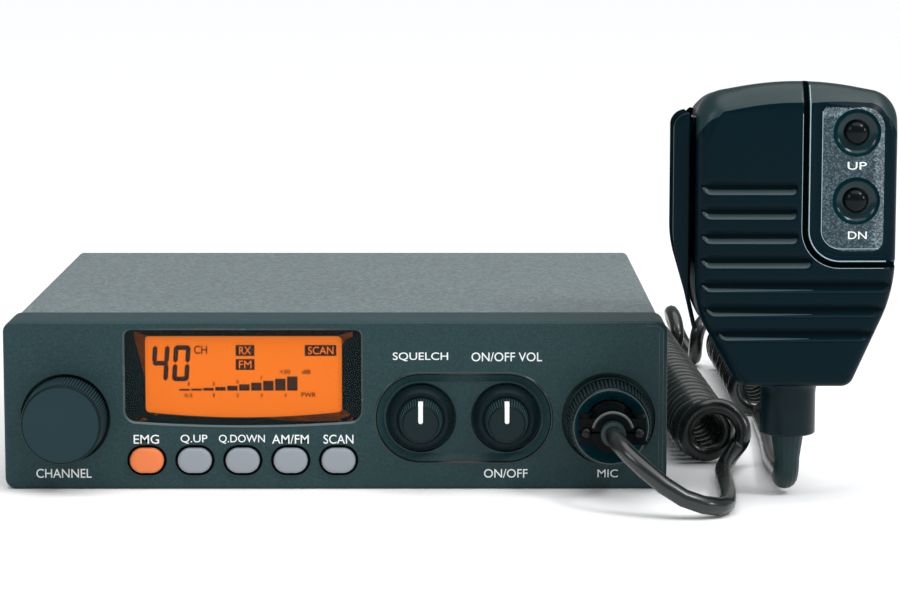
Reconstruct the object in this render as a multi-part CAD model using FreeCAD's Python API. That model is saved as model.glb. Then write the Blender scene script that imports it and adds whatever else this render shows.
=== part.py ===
import FreeCAD, Part
import math
import os
from FreeCAD import Vector

# A mobile CB radio set with its hand microphone on a curly cord.
# Millimetres. X runs to the right, Y from the front panel to the rear, Z up.
# The origin is the middle of the set's underside, on the surface it stands on.

# Outer size of the set.
SET_WIDTH = 180.0
SET_HEIGHT = 46.0
SET_DEPTH = 164.0
FRONT_Y = -SET_DEPTH / 2
REAR_Y = SET_DEPTH / 2

# Flat sides of a bar that needn't be truly round, and the mark of one that is.
BAR_SIDES = 16
ROUND = 0

# Clearances, each used wherever that kind of joint occurs.
RUNNING_GAP = 0.05
SEAT_GAP = 0.1
KEY_GAP = 0.15
THREAD_GAP = 0.05
GLUE_GAP = 0.15
FLOOR_GAP = 0.1

# Moulded front panel.
PANEL_DEPTH = 18.5
PANEL_CORNER = 3.0
PANEL_EDGE = 1.0
PANEL_SIDE_WALL = 1.6
PANEL_FACE = 2.4
PANEL_REAR_Y = FRONT_Y + PANEL_DEPTH
FACE_BACK_Y = FRONT_Y + PANEL_FACE
CUP_WALL = 1.0
CUP_FLOOR = 1.2

# Dials: the channel selector and the pair in the long recess.
DIAL_Z = 19.5
SIDE_X = SET_WIDTH / 2
CHANNEL_X = 16.7 - SIDE_X
CHANNEL_WELL_RADIUS = 12.2
CHANNEL_WELL_DEPTH = 4.0
CHANNEL_RADIUS = 11.4
CHANNEL_FACE_RADIUS = 10.6
CHANNEL_REACH = 11.0
CHANNEL_RIBS = 72
PAIR_PITCH = 0.1289 * SET_WIDTH
PAIR_RECESS_LENGTH = PAIR_PITCH + 24.8
MIC_X = SIDE_X - 15.9
MIC_WELL_RADIUS = 12.7
PAIR_X = MIC_X - MIC_WELL_RADIUS - 2.65 - PAIR_RECESS_LENGTH / 2
PAIR_RECESS_WIDTH = 24.6
PAIR_RECESS_DEPTH = 1.5
PAIR_RECESS_SLOPE = 2.4
PAIR_WELL_RADIUS = 9.6
PAIR_WELL_DEPTH = 1.6
SKIRT_RADIUS = 9.0
SKIRT_EDGE = 0.7
SKIRT_RISE = 3.4
CAP_RADIUS = 6.0
CAP_FACE_RADIUS = 4.9
CAP_REACH = 8.2
CAP_RIBS = 44
RIB_DEPTH = 0.3
KNOB_LIP = 0.8
KNOB_CHAMFER = 0.35
POINTER_WIDTH = 1.55
POINTER_DEPTH = 0.7
POINTER_DROP = 3.7
POINTER_PROUD = 0.05
SHAFT_RADIUS = 3.0
SHAFT_IN_KNOB = 6.0
BUSHING_RADIUS = 3.9

# Display window and its stack of parts.
WINDOW_LEFT = CHANNEL_X + CHANNEL_WELL_RADIUS + 3.5
WINDOW_RIGHT = PAIR_X - PAIR_RECESS_LENGTH / 2 - 3.25
WINDOW_TOP = SET_HEIGHT - 1.9
WINDOW_FOOT = 18.3
WINDOW_BOW = 1.3
WINDOW_CORNER = 2.2
WINDOW_FOOT_CORNER = 3.2
LENS_SINK = 0.4
MASK_LAP = 1.6
MASK_THICKNESS = 0.8
LCD_SIDE_INSET = 5.8
LCD_HEIGHT_INSET = 2.4
LCD_THICKNESS = 2.8

# Push buttons under the display.
KEY_NAMES = ("emergency_button", "channel_up_button", "channel_down_button", "mode_button", "scan_button")
KEY_FIRST_X = WINDOW_LEFT + 6.3
KEY_PITCH = (WINDOW_RIGHT - WINDOW_LEFT) / len(KEY_NAMES)
KEY_Z = 8.0
KEY_WIDTH = 0.7066 * KEY_PITCH
KEY_HEIGHT = 0.739 * KEY_WIDTH
KEY_PROUD = 1.7
KEY_EDGE = 0.8
KEY_TRAVEL = 0.8
KEY_FLANGE = 1.0
KEY_FLANGE_LAP = 0.7
KEY_STEM_RADIUS = 2.2
KEY_PIN_RADIUS = 1.7
SWITCH_SIZE = 6.0
SWITCH_HEIGHT = 3.5

# Control board behind the panel.
CONTROL_BOARD_Y = -70.0
BOARD_THICKNESS = 1.6
CONTROL_BOARD_LEFT = 4.0 - SIDE_X
CONTROL_BOARD_RIGHT = MIC_X - 14.6
CONTROL_BOARD_FOOT = 3.0
CONTROL_BOARD_TOP = SET_HEIGHT - 3.0
STANDOFF_RADIUS = 2.4
STANDOFF_X = (CHANNEL_X + 10.8, MIC_X - 17.6)
STANDOFF_Z = (5.2, SET_HEIGHT - 5.2)
ENCODER_SIZE = 14.0
POT_RADIUS = 8.0

# Microphone socket and the plug that is screwed onto it.
MIC_Z = 19.3
MIC_WELL_DEPTH = 3.0
MIC_WELL_FLOOR = 1.5
SOCKET_RADIUS = 8.0
SOCKET_BORE = 6.7
SOCKET_REACH = 5.0
SOCKET_FLANGE_RADIUS = 10.4
SOCKET_FLANGE = 1.2
SOCKET_TAIL = 8.5
SOCKET_BORE_SINK = 2.0
SOCKET_NUT = 2.2
CONTACT_RADIUS = 0.8
CONTACT_CIRCLE = 3.4
RING_BASE_RADIUS = 11.8
RING_LIP_RADIUS = 10.4
RING_REACH = 13.0
RING_RIBS = 40
RING_CONE_DEPTH = 3.6
PLUG_NOSE_RADIUS = 6.5
PLUG_FLANGE_RADIUS = 7.7
PLUG_FLANGE = 1.1
PLUG_SLEEVE_RADIUS = 5.6
PLUG_SLEEVE_REACH = 16.5
CLAMP_SPAN = 17.7
CLAMP_HEIGHT = 7.0
CLAMP_LENGTH = 5.0
BOOT_LENGTH = 3.5
BOOT_RADIUS = 3.3

# Sheet steel covers and the chassis between them.
COVER_SIDE_INSET = 1.2
COVER_TOP_INSET = 0.4
COVER_SHEET = 1.0
COVER_BEND = 2.0
COVER_SEAM_Z = SET_HEIGHT / 2 - 1.0
COVER_SEAM_GAP = 0.4
CHASSIS_SHEET = 1.2
CHASSIS_FRONT_Y = -65.0
SHELF_Z = SET_HEIGHT - 18.2
SHELF_WIDTH = 8.0
WIRE_WINDOW_LEFT = -55.0
WIRE_WINDOW_RIGHT = MIC_X - 14.1
SHELF_FRONT_Y = -50.0
SHELF_REAR_Y = 70.0
PANEL_BOSS_X = SIDE_X - 6.4
PANEL_BOSS_Z = (5.5, SET_HEIGHT - 5.5)
PANEL_BOSS_RADIUS = 2.6
SCREW_RADIUS = 1.2
SCREW_HEAD_RADIUS = 2.5
SCREW_HEAD = 1.5
SCREW_BITE = 6.0
SCREW_SHANK_SIDES = 8
SCREW_HEAD_SIDES = 16
SCREW_PAST = 1.5
COVER_SCREW_Y = (-52.0, 62.0)
COVER_SCREW_Z = (12.0, SET_HEIGHT - 12.0)
BRACKET_Y = 5.0
BRACKET_Z = COVER_SEAM_Z
BRACKET_THREAD_RADIUS = 2.1
BRACKET_BOSS_RADIUS = 4.5
BRACKET_BOSS_LENGTH = 4.0
BRACKET_OPENING_RADIUS = 5.5

# Loudspeaker over the slots of the bottom cover.
SPEAKER_Y = 12.0
SPEAKER_RADIUS = 33.0
SPEAKER_RIM = 1.9
SPEAKER_STEP = 1.0
SPEAKER_CONE_RADIUS = 29.6
SPEAKER_NECK_RADIUS = 16.0
SPEAKER_HEIGHT = 13.0
BASKET_WALL = 0.9
MAGNET_RADIUS = 15.0
MAGNET_HEIGHT = 8.0
SLOT_COUNT = 9
SLOT_PITCH = 6.0
SLOT_WIDTH = 2.4
SLOT_FIELD_RADIUS = 28.0
CLIP_ANGLES = (90.0, 210.0, 330.0)

# Main board under the top cover.
MAIN_BOARD_WIDTH = SET_WIDTH - 12.0
MAIN_BOARD_FRONT_Y = -46.0
MAIN_BOARD_REAR_Y = 66.0
MAIN_SCREW_INSET = 4.0
REAR_TAB = 9.0
REAR_SCREW_X = SIDE_X - 8.2
REAR_SCREW_Z = (12.0, SET_HEIGHT - 10.0)

# Rear panel with cooling fins and the sockets.
REAR_PLATE = 4.0
FIN_COUNT = 11
FIN_FIRST_X = -2.0
FIN_PITCH = 0.03 * SET_WIDTH
FIN_THICKNESS = 1.8
FIN_REACH = 9.0
FIN_FOOT = 4.0
FIN_TOP = SET_HEIGHT - 4.5
TRANSISTOR_X = (4.0, 22.0, 40.0)
AERIAL_X = 24.0 - SIDE_X
AERIAL_Z = 24.0
AERIAL_RADIUS = 7.9
AERIAL_REACH = 12.0
AERIAL_WALL = 1.6
AERIAL_FLANGE = 25.0
AERIAL_FLANGE_THICKNESS = 1.8
AERIAL_CONTACT_RADIUS = 2.6
AERIAL_CONTACT_BORE = 1.9
JACK_X = AERIAL_X + 28.0
JACK_Z = 30.0
JACK_BORE = 1.8
JACK_RADIUS = 3.9
JACK_DEPTH = 12.0
JACK_NUT_RADIUS = 5.2
INLET_X = SIDE_X - 18.0
INLET_Z = 24.0
INLET_WIDTH = 20.0
INLET_HEIGHT = 13.0
INLET_DEPTH = 10.0
INLET_WALL = 2.0
INLET_PIN_RADIUS = 1.1
INLET_PIN_SPREAD = 5.4

# Hand microphone, which hangs beside the set in front of the panel's plane.
HAND_HALF_WIDTH = 25.9
HAND_X = SIDE_X + 5.5 + HAND_HALF_WIDTH
HAND_FRONT_Y = FRONT_Y - 25.0
HAND_DEPTH = 30.0
HAND_SEAM = 14.0
HAND_TOP = 113.6
HAND_FOOT = 31.8
HAND_LENGTH = HAND_TOP - HAND_FOOT
HAND_SHOULDER = HAND_TOP - 5.0
HAND_HIP = HAND_FOOT + 0.2958 * HAND_LENGTH
HAND_HIP_HALF_WIDTH = HAND_HALF_WIDTH - 0.3
HAND_FOOT_HALF_WIDTH = HAND_HALF_WIDTH - 11.7
HAND_CROWN_RADIUS = 80.0
HAND_SHOULDER_RADIUS = 8.0
HAND_HIP_RADIUS = 35.0
HAND_FOOT_RADIUS = 3.6
HAND_FRONT_EDGE = 2.0
HAND_REAR_EDGE = 3.4
HAND_WALL = 2.0
HAND_FACE = 3.2
HAND_SEAM_Y = HAND_FRONT_Y + HAND_SEAM
HAND_REAR_Y = HAND_FRONT_Y + HAND_DEPTH
GLAND_RADIUS = 7.35
GLAND_FOOT = 17.5
LOUVRE_FIRST_Z = HAND_FOOT + 0.6442 * HAND_LENGTH
LOUVRE_PITCH = 0.0786 * HAND_LENGTH
LOUVRE_SHORT_COUNT = 4
LOUVRE_LONG_COUNT = 3
LOUVRE_DEPTH = 1.0
LOUVRE_RISE = 2.0
LOUVRE_FALL = 1.7
SOUND_HOLE_RADIUS = 0.9
SOUND_HOLE_X = (-16.0, -12.0, -8.0)
GROOVE_LEFT = 1.6
GROOVE_FOOT = HAND_FOOT + 0.3888 * HAND_LENGTH
GROOVE_CORNER = 10.0
GROOVE_WIDTH = 1.7
GROOVE_DEPTH = 1.2
KEY_PANEL_LEFT = 6.6
KEY_PANEL_RIGHT = HAND_HALF_WIDTH - 3.4
KEY_PANEL_FOOT = HAND_FOOT + 0.4425 * HAND_LENGTH
KEY_PANEL_TOP = HAND_TOP - 7.6
KEY_PANEL_FALL = 1.6
KEY_PANEL_CORNER = 6.5
KEY_PANEL_THICKNESS = 1.4
THUMB_X = 15.6
UP_Z = HAND_TOP - 14.6
DOWN_Z = HAND_FOOT + 0.6039 * HAND_LENGTH
THUMB_RADIUS = 3.2
THUMB_DISH_RADIUS = 6.3
THUMB_DISH_DEPTH = 1.1
THUMB_FLANGE = 1.0
THUMB_SWITCH = 1.0
THUMB_TRAVEL = 0.8
TALK_LEFT = -7.1 - HAND_HALF_WIDTH
TALK_RIGHT = -1.9 - HAND_HALF_WIDTH
TALK_TOP = HAND_TOP - 8.7
TALK_SHOULDER_RADIUS = 4.6
TALK_WAIST_Z = HAND_FOOT + 0.467 * HAND_LENGTH
TALK_FOOT_Z = HAND_FOOT + 0.1797 * HAND_LENGTH
TALK_FRONT = 7.0
TALK_DEPTH = 15.0
TALK_PIVOT_Z = HAND_TOP - 14.6
TALK_PIN_RADIUS = 1.2
TALK_PIVOT_X = -3.4 - HAND_HALF_WIDTH
TALK_LUG = 2.0
TALK_LUG_RADIUS = 1.9
TALK_PLUNGER_Z = HAND_FOOT + 0.5648 * HAND_LENGTH
TALK_PLUNGER_RADIUS = 1.6
TALK_PLUNGER_REACH = 0.6
TALK_PRESS = 0.9
RELIEF_TOP_RADIUS = 4.3
RELIEF_TIP_RADIUS = 3.3
RELIEF_FLANGE_RADIUS = 5.0
RELIEF_BEND_RADIUS = 6.0
RELIEF_END_Z = 4.6
STUD_Z = HAND_TOP - 21.6
STUD_SCREW_RADIUS = 2.0
STUD_NECK_RADIUS = 3.0
STUD_NECK = 2.6
STUD_HEAD_RADIUS = 6.0
STUD_HEAD = 2.4
HAND_SCREWS = ((-19.0, HAND_TOP - 13.6), (6.5, HAND_TOP - 7.8), (0.0, HAND_FOOT + 10.2))
HAND_BOSS_RADIUS = 3.0
HAND_PILLARS = ((3.0, DOWN_Z - 2.2), (3.0, UP_Z - 2.0))

# Cord: one round lead, wound into curls between its two free ends.
CORD_RADIUS = 2.5
CURL_WIRE_RADIUS = 2.4
CURL_WIRE_SIDES = 6
CORD_SIDES = 10
CURL_RADIUS = 6.7
CURL_NEAR = (SIDE_X + 13.4, -49.0)
CURL_HEADING = -1.7
CURL_RUN = 174.0
CURL_TURNS = 27.267
CURL_BEND_RADIUS = 14.4
CURL_BEND = 182.3
CURL_BEND_TURNS = 3.0
CURL_BEND_SWELL = 1.5
CURL_BACK_RUN = 95.0
CURL_BACK_TURNS = 14.65
CURL_START_ANGLE = -60.0
CURL_FLARE = 0.5
CURL_FLARE_TURNS = 1.5
CURL_FLARE_SHIFT = 4.6
CURL_FLARE_LIFT = 1.2
CURL_STRAIGHT = 2 * CORD_RADIUS
CORD_Z = CORD_RADIUS + FLOOR_GAP


def box(x0, x1, y0, y1, z0, z1):
    """A block between two corners."""
    return Part.makeBox(x1 - x0, y1 - y0, z1 - z0, Vector(x0, y0, z0))


def bar(radius, start, reach, sides):
    """A bar from start along reach: truly round, or with flat sides that touch the radius."""
    if sides == ROUND:
        return Part.makeCylinder(radius, reach.Length, start, reach)
    return prism(radius / math.cos(math.pi / sides), start, reach, sides)


def bar_x(radius, x0, x1, y, z, sides=BAR_SIDES):
    """A bar along X."""
    return bar(radius, Vector(x0, y, z), Vector(x1 - x0, 0, 0), sides)


def bar_y(radius, x, z, y0, y1, sides=BAR_SIDES):
    """A bar along Y."""
    return bar(radius, Vector(x, y0, z), Vector(0, y1 - y0, 0), sides)


def bar_z(radius, x, y, z0, z1, sides=BAR_SIDES):
    """A bar along Z."""
    return bar(radius, Vector(x, y, z0), Vector(0, 0, z1 - z0), sides)


def prism(radius, start, reach, sides):
    """A flat-sided bar from start along the vector reach, its corners at the radius given."""
    along = Vector(reach).normalize()
    across = along.cross(Vector(along.y, along.z, along.x)).normalize() * radius
    over = along.cross(across)
    ring = []
    for i in range(sides + 1):
        angle = 2 * math.pi * i / sides
        ring.append(start + across * math.cos(angle) + over * math.sin(angle))
    return Part.Face(Part.makePolygon(ring)).extrude(reach)


def joined(shapes):
    """The shapes as one, with the seams between flush faces removed."""
    shapes = list(shapes)
    return shapes[0].multiFuse(shapes[1:]).removeSplitter()


def group(shapes):
    """Separate solids kept together in one node."""
    return Part.makeCompound(list(shapes))


def outline(corners, y):
    """A closed outline in the plane y, from corners (x, z, rounding radius)."""
    points = [Vector(x, y, z) for x, z, _ in corners]
    edges = []
    starts = []
    ends = []
    for i, (_, _, radius) in enumerate(corners):
        here = points[i]
        back = (points[i - 1] - here).normalize()
        ahead = (points[(i + 1) % len(points)] - here).normalize()
        half = back.getAngle(ahead) / 2
        if radius == 0:
            starts.append(here)
            ends.append(here)
            continue
        start = here + back * (radius / math.tan(half))
        end = here + ahead * (radius / math.tan(half))
        middle = here + (back + ahead).normalize() * (radius / math.sin(half) - radius)
        edges.append(Part.Arc(start, middle, end).toShape())
        starts.append(start)
        ends.append(end)
    for i, end in enumerate(ends):
        start = starts[(i + 1) % len(starts)]
        if end.distanceToPoint(start) > 1e-6:
            edges.append(Part.makeLine(end, start))
    return Part.Wire(Part.__sortEdges__(edges))


def plate(corners, y0, y1):
    """A flat piece with the given outline, from y0 to y1."""
    return Part.Face(outline(corners, y0)).extrude(Vector(0, y1 - y0, 0))


def rectangle(x, z, width, height, radius=0.0):
    """Corners of a rectangle about (x, z)."""
    w = width / 2
    h = height / 2
    return [(x - w, z - h, radius), (x + w, z - h, radius), (x + w, z + h, radius), (x - w, z + h, radius)]


def turned_y(profile, x, z, sides=BAR_SIDES):
    """A turned piece about the Y line through (x, z), from points (radius, y)."""
    if sides == ROUND:
        wire = Part.makePolygon([Vector(x + r, y, z) for r, y in profile + profile[:1]])
        return Part.Face(wire).revolve(Vector(x, 0, z), Vector(0, 1, 0), 360)
    return flat_turned(profile, lambda across, up, y: Vector(x + across, y, z + up), sides)


def turned_z(profile, x, y, sides=BAR_SIDES):
    """A turned piece about the upright line through (x, y), from points (radius, z)."""
    return flat_turned(profile, lambda across, over, z: Vector(x + across, y + over, z), sides)


def flat_turned(profile, spot, sides):
    """A turned piece with flat sides that touch the profile's radii; spot gives each corner's place."""
    turns = [2 * math.pi * i / sides for i in range(sides)] + [0.0]
    stretch = 1 / math.cos(math.pi / sides)
    faces = []
    for (r0, level0), (r1, level1) in zip(profile, profile[1:] + profile[:1]):
        near = [spot(r0 * stretch * math.cos(a), r0 * stretch * math.sin(a), level0) for a in turns]
        far = [spot(r1 * stretch * math.cos(a), r1 * stretch * math.sin(a), level1) for a in turns]
        if level0 == level1:
            inner, outer = sorted((near, far), key=lambda ring: ring[0].distanceToPoint(ring[sides // 2]))
            face = Part.Face(Part.makePolygon(outer)) if max(r0, r1) > 0 else None
            if face and min(r0, r1) > 0:
                face = face.cut(Part.Face(Part.makePolygon(inner)))
            faces += face.Faces if face else []
            continue
        for i in range(sides if max(r0, r1) > 0 else 0):
            corners = [near[i], near[i + 1]] if r0 > 0 else [near[i]]
            corners += [far[i + 1], far[i]] if r1 > 0 else [far[i]]
            faces.append(Part.Face(Part.makePolygon(corners + corners[:1])))
    solid = Part.Solid(Part.Shell(faces))
    if solid.Volume < 0:
        solid.reverse()
    return solid


def ribbed_y(x, z, y0, r0, y1, r1, ribs, depth):
    """A tapering body of V-shaped ribs along Y."""
    rings = []
    for y, radius in ((y0, r0), (y1, r1)):
        points = []
        for i in range(2 * ribs):
            r = radius - depth * (i % 2)
            angle = math.pi * i / ribs
            points.append(Vector(x + r * math.cos(angle), y, z + r * math.sin(angle)))
        rings.append(Part.makePolygon(points + points[:1]))
    return Part.makeLoft(rings, True, True)


def softened(shape, radius, chosen):
    """The shape with the edges that chosen() picks rounded."""
    return shape.makeFillet(radius, [e for e in shape.Edges if chosen(e)])


def edges_at_y(y):
    """A test for edges that lie wholly in the plane y."""
    def chosen(edge):
        limits = edge.BoundBox
        return abs(limits.YMin - y) < 1e-4 and abs(limits.YMax - y) < 1e-4
    return chosen


def screw(seat, direction, bite=SCREW_BITE):
    """A pan head screw whose head sits at seat and whose shank points in direction."""
    shank = prism(SCREW_RADIUS, seat, direction * bite, SCREW_SHANK_SIDES)
    head = prism(SCREW_HEAD_RADIUS, seat, direction * -SCREW_HEAD, SCREW_HEAD_SIDES)
    return joined([shank, head])


# Places that several pieces share.
PAIR_FLOOR_Y = FRONT_Y + PAIR_RECESS_DEPTH
PAIR_WELL_Y = PAIR_FLOOR_Y + PAIR_WELL_DEPTH
CHANNEL_WELL_Y = FRONT_Y + CHANNEL_WELL_DEPTH
MIC_FLOOR_Y = FRONT_Y + MIC_WELL_DEPTH
SQUELCH_X = PAIR_X - PAIR_PITCH / 2
VOLUME_X = PAIR_X + PAIR_PITCH / 2
KEY_X = [KEY_FIRST_X + KEY_PITCH * i for i in range(len(KEY_NAMES))]
MASK_BACK_Y = FACE_BACK_Y + MASK_THICKNESS
LCD_BACK_Y = MASK_BACK_Y + LCD_THICKNESS
BOARD_BACK_Y = CONTROL_BOARD_Y + BOARD_THICKNESS
COVER_HALF_WIDTH = SET_WIDTH / 2 - COVER_SIDE_INSET
COVER_TOP_Z = SET_HEIGHT - COVER_TOP_INSET
INNER_HALF_WIDTH = COVER_HALF_WIDTH - COVER_SHEET
CHASSIS_HALF_WIDTH = INNER_HALF_WIDTH - SEAT_GAP
REAR_PLATE_Y = REAR_Y - REAR_PLATE
SHELF_TOP_Z = SHELF_Z + CHASSIS_SHEET
MAIN_BOARD_TOP = SHELF_TOP_Z + BOARD_THICKNESS
SPEAKER_Z = COVER_SHEET


def window_corners(side, height, corner, foot_corner):
    """The display's outline with a bowed foot, drawn in by side and height."""
    left = WINDOW_LEFT + side
    right = WINDOW_RIGHT - side
    half = (right - left) / 2
    slope = 2 * WINDOW_BOW / half
    foot = WINDOW_FOOT + height
    bow_radius = 0.86 * half / slope
    return [
        (left, WINDOW_TOP - height, corner),
        (right, WINDOW_TOP - height, corner),
        (right, foot, foot_corner),
        ((left + right) / 2, foot - 2 * WINDOW_BOW, bow_radius),
        (left, foot, foot_corner),
    ]


def front_panel():
    """The moulded front with its wells, recess, window and button holes."""
    middle = SET_HEIGHT / 2
    block = plate(rectangle(0, middle, SET_WIDTH, SET_HEIGHT, PANEL_CORNER), FRONT_Y, PANEL_REAR_Y)
    block = softened(block, PANEL_EDGE, edges_at_y(FRONT_Y))
    inner_width = SET_WIDTH - 2 * PANEL_SIDE_WALL
    inner_height = SET_HEIGHT - 2 * PANEL_SIDE_WALL
    inner_corner = PANEL_CORNER - PANEL_SIDE_WALL
    hollow = rectangle(0, middle, inner_width, inner_height, inner_corner)
    shell = block.cut(plate(hollow, FACE_BACK_Y, PANEL_REAR_Y))
    mic_wall = MIC_WELL_RADIUS + CUP_WALL
    cup_front = FRONT_Y + PANEL_EDGE
    bosses = [
        bar_y(CHANNEL_WELL_RADIUS + CUP_WALL, CHANNEL_X, DIAL_Z, cup_front, CHANNEL_WELL_Y + CUP_FLOOR),
        bar_y(mic_wall, MIC_X, MIC_Z, cup_front, MIC_FLOOR_Y + MIC_WELL_FLOOR),
    ]
    for x in (SQUELCH_X, VOLUME_X):
        bosses.append(bar_y(PAIR_WELL_RADIUS + CUP_WALL, x, DIAL_Z, cup_front, PAIR_WELL_Y + CUP_FLOOR))
    for x in (-PANEL_BOSS_X, PANEL_BOSS_X):
        for z in PANEL_BOSS_Z:
            bosses.append(bar_y(PANEL_BOSS_RADIUS, x, z, FACE_BACK_Y, CHASSIS_FRONT_Y))
    for x in STANDOFF_X:
        for z in STANDOFF_Z:
            bosses.append(bar_y(STANDOFF_RADIUS, x, z, FACE_BACK_Y, CONTROL_BOARD_Y))
    body = joined([shell] + bosses)
    return body.cut(group(panel_openings()))


def panel_openings():
    """Everything that is cut out of the front panel."""
    shaft_hole = BUSHING_RADIUS + SEAT_GAP
    through = FACE_BACK_Y + PANEL_DEPTH / 2
    cuts = [
        bar_y(CHANNEL_WELL_RADIUS, CHANNEL_X, DIAL_Z, FRONT_Y - 1, CHANNEL_WELL_Y, ROUND),
        bar_y(shaft_hole, CHANNEL_X, DIAL_Z, FRONT_Y, through),
        bar_y(MIC_WELL_RADIUS, MIC_X, MIC_Z, FRONT_Y - 1, MIC_FLOOR_Y, ROUND),
        bar_y(SOCKET_RADIUS + SEAT_GAP, MIC_X, MIC_Z, FRONT_Y, through),
        plate(window_corners(0, 0, WINDOW_CORNER, WINDOW_FOOT_CORNER), FRONT_Y - 1, FACE_BACK_Y),
        pair_recess(),
    ]
    for x in (SQUELCH_X, VOLUME_X):
        cuts.append(bar_y(PAIR_WELL_RADIUS, x, DIAL_Z, FRONT_Y, PAIR_WELL_Y, ROUND))
        cuts.append(bar_y(shaft_hole, x, DIAL_Z, FRONT_Y, through))
    for x in KEY_X:
        width = KEY_WIDTH + 2 * KEY_GAP
        height = KEY_HEIGHT + 2 * KEY_GAP
        cuts.append(plate(rectangle(x, KEY_Z, width, height, height / 2), FRONT_Y - 1, FACE_BACK_Y))
    bite = CHASSIS_FRONT_Y - SCREW_BITE
    pilot = SCREW_RADIUS + THREAD_GAP
    for x in (-PANEL_BOSS_X, PANEL_BOSS_X):
        for z in PANEL_BOSS_Z:
            cuts.append(bar_y(pilot, x, z, bite, CHASSIS_FRONT_Y))
    for x in STANDOFF_X:
        for z in STANDOFF_Z:
            cuts.append(bar_y(pilot, x, z, CONTROL_BOARD_Y - SCREW_BITE, CONTROL_BOARD_Y))
    return cuts


def pair_recess():
    """The long recess with sloping walls round the two small dials."""
    rings = []
    flare = PAIR_RECESS_SLOPE / PAIR_RECESS_DEPTH
    for y, inset in ((FRONT_Y - 1.0, -flare), (PAIR_FLOOR_Y, PAIR_RECESS_SLOPE)):
        width = PAIR_RECESS_LENGTH - 2 * inset
        height = PAIR_RECESS_WIDTH - 2 * inset
        rings.append(outline(rectangle(PAIR_X, DIAL_Z, width, height, height / 2 - 0.01), y))
    return Part.makeLoft(rings, True, True)


def dial_knob(x, base_y, radius, face_y, face_radius, ribs):
    """A ribbed cap with a plain face, from base_y forward to face_y."""
    rib_end = face_y + KNOB_LIP
    taper = (radius - face_radius) / (base_y - face_y)
    lip_radius = face_radius + taper * KNOB_LIP
    ribbed = ribbed_y(x, DIAL_Z, rib_end, lip_radius, base_y, radius, ribs, RIB_DEPTH)
    lip = turned_y([
        (0, rib_end + KNOB_LIP),
        (lip_radius - RIB_DEPTH, rib_end + KNOB_LIP),
        (lip_radius - RIB_DEPTH, rib_end),
        (lip_radius, rib_end),
        (face_radius, face_y + KNOB_CHAMFER),
        (face_radius - KNOB_CHAMFER, face_y),
        (0, face_y),
    ], x, DIAL_Z)
    return joined([ribbed, lip])


CHANNEL_FACE_Y = FRONT_Y - CHANNEL_REACH
CHANNEL_BASE_Y = CHANNEL_WELL_Y - 1.0


def channel_knob():
    """The large channel knob; its foot turns inside the panel's well."""
    foot = bar_y(CHANNEL_RADIUS, CHANNEL_X, DIAL_Z, FRONT_Y, CHANNEL_BASE_Y)
    knob = dial_knob(CHANNEL_X, FRONT_Y, CHANNEL_RADIUS, CHANNEL_FACE_Y, CHANNEL_FACE_RADIUS, CHANNEL_RIBS)
    deep = CHANNEL_BASE_Y - SHAFT_IN_KNOB
    bore = bar_y(SHAFT_RADIUS + THREAD_GAP, CHANNEL_X, DIAL_Z, deep, CHANNEL_BASE_Y, ROUND)
    return joined([foot, knob]).cut(bore)


SKIRT_Y = PAIR_WELL_Y - 0.3
CAP_BASE_Y = SKIRT_Y - SKIRT_EDGE - SKIRT_RISE
CAP_FACE_Y = CAP_BASE_Y - CAP_REACH


def pair_knob(x):
    """A small knob: a coned skirt that fills the well, and a ribbed cap on it."""
    skirt = turned_y([
        (0, SKIRT_Y),
        (SKIRT_RADIUS, SKIRT_Y),
        (SKIRT_RADIUS, SKIRT_Y - SKIRT_EDGE),
        (CAP_RADIUS + 0.3, CAP_BASE_Y),
        (0, CAP_BASE_Y),
    ], x, DIAL_Z)
    cap = dial_knob(x, CAP_BASE_Y, CAP_RADIUS, CAP_FACE_Y, CAP_FACE_RADIUS, CAP_RIBS)
    bore = bar_y(SHAFT_RADIUS + THREAD_GAP, x, DIAL_Z, SKIRT_Y - SHAFT_IN_KNOB, SKIRT_Y, ROUND)
    return joined([skirt, cap]).cut(bore).cut(pointer(x, POINTER_DEPTH))


def pointer(x, lift):
    """The white bar that marks a small knob's setting, raised by lift."""
    half = POINTER_WIDTH / 2
    top = DIAL_Z + CAP_RADIUS + 1.0
    face = plate([
        (x - half, DIAL_Z - half, half - 0.01),
        (x + half, DIAL_Z - half, half - 0.01),
        (x + half, top, 0),
        (x - half, top, 0),
    ], CAP_FACE_Y - 1.0, CAP_FACE_Y + POINTER_DROP)
    body = turned_y([
        (0, CAP_FACE_Y - lift),
        (CAP_FACE_RADIUS + lift, CAP_FACE_Y - lift),
        (CAP_RADIUS + lift, CAP_BASE_Y),
        (CAP_RADIUS - POINTER_DEPTH, CAP_BASE_Y),
        (CAP_FACE_RADIUS - POINTER_DEPTH, CAP_FACE_Y + POINTER_DEPTH),
        (0, CAP_FACE_Y + POINTER_DEPTH),
    ], x, DIAL_Z, ROUND)
    return face.common(body)


def shaft(x, knob_back_y, end_y):
    """A dial's shaft from inside its knob to inside its control."""
    return bar_y(SHAFT_RADIUS, x, DIAL_Z, knob_back_y - SHAFT_IN_KNOB, end_y, ROUND)


SHAFT_END_Y = CONTROL_BOARD_Y - 1.2
SHAFT_ROOM = 0.4


def encoder():
    """The channel selector's switch, with the bushing its shaft turns in."""
    half = ENCODER_SIZE / 2
    front = CHANNEL_WELL_Y + CUP_FLOOR + SEAT_GAP
    case = box(CHANNEL_X - half, CHANNEL_X + half, front, CONTROL_BOARD_Y, DIAL_Z - half, DIAL_Z + half)
    bushing = bar_y(BUSHING_RADIUS, CHANNEL_X, DIAL_Z, front - CUP_FLOOR, front)
    end = SHAFT_END_Y + SHAFT_ROOM
    bore = bar_y(SHAFT_RADIUS + RUNNING_GAP, CHANNEL_X, DIAL_Z, front - CUP_FLOOR, end, ROUND)
    return joined([case, bushing]).cut(bore)


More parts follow.
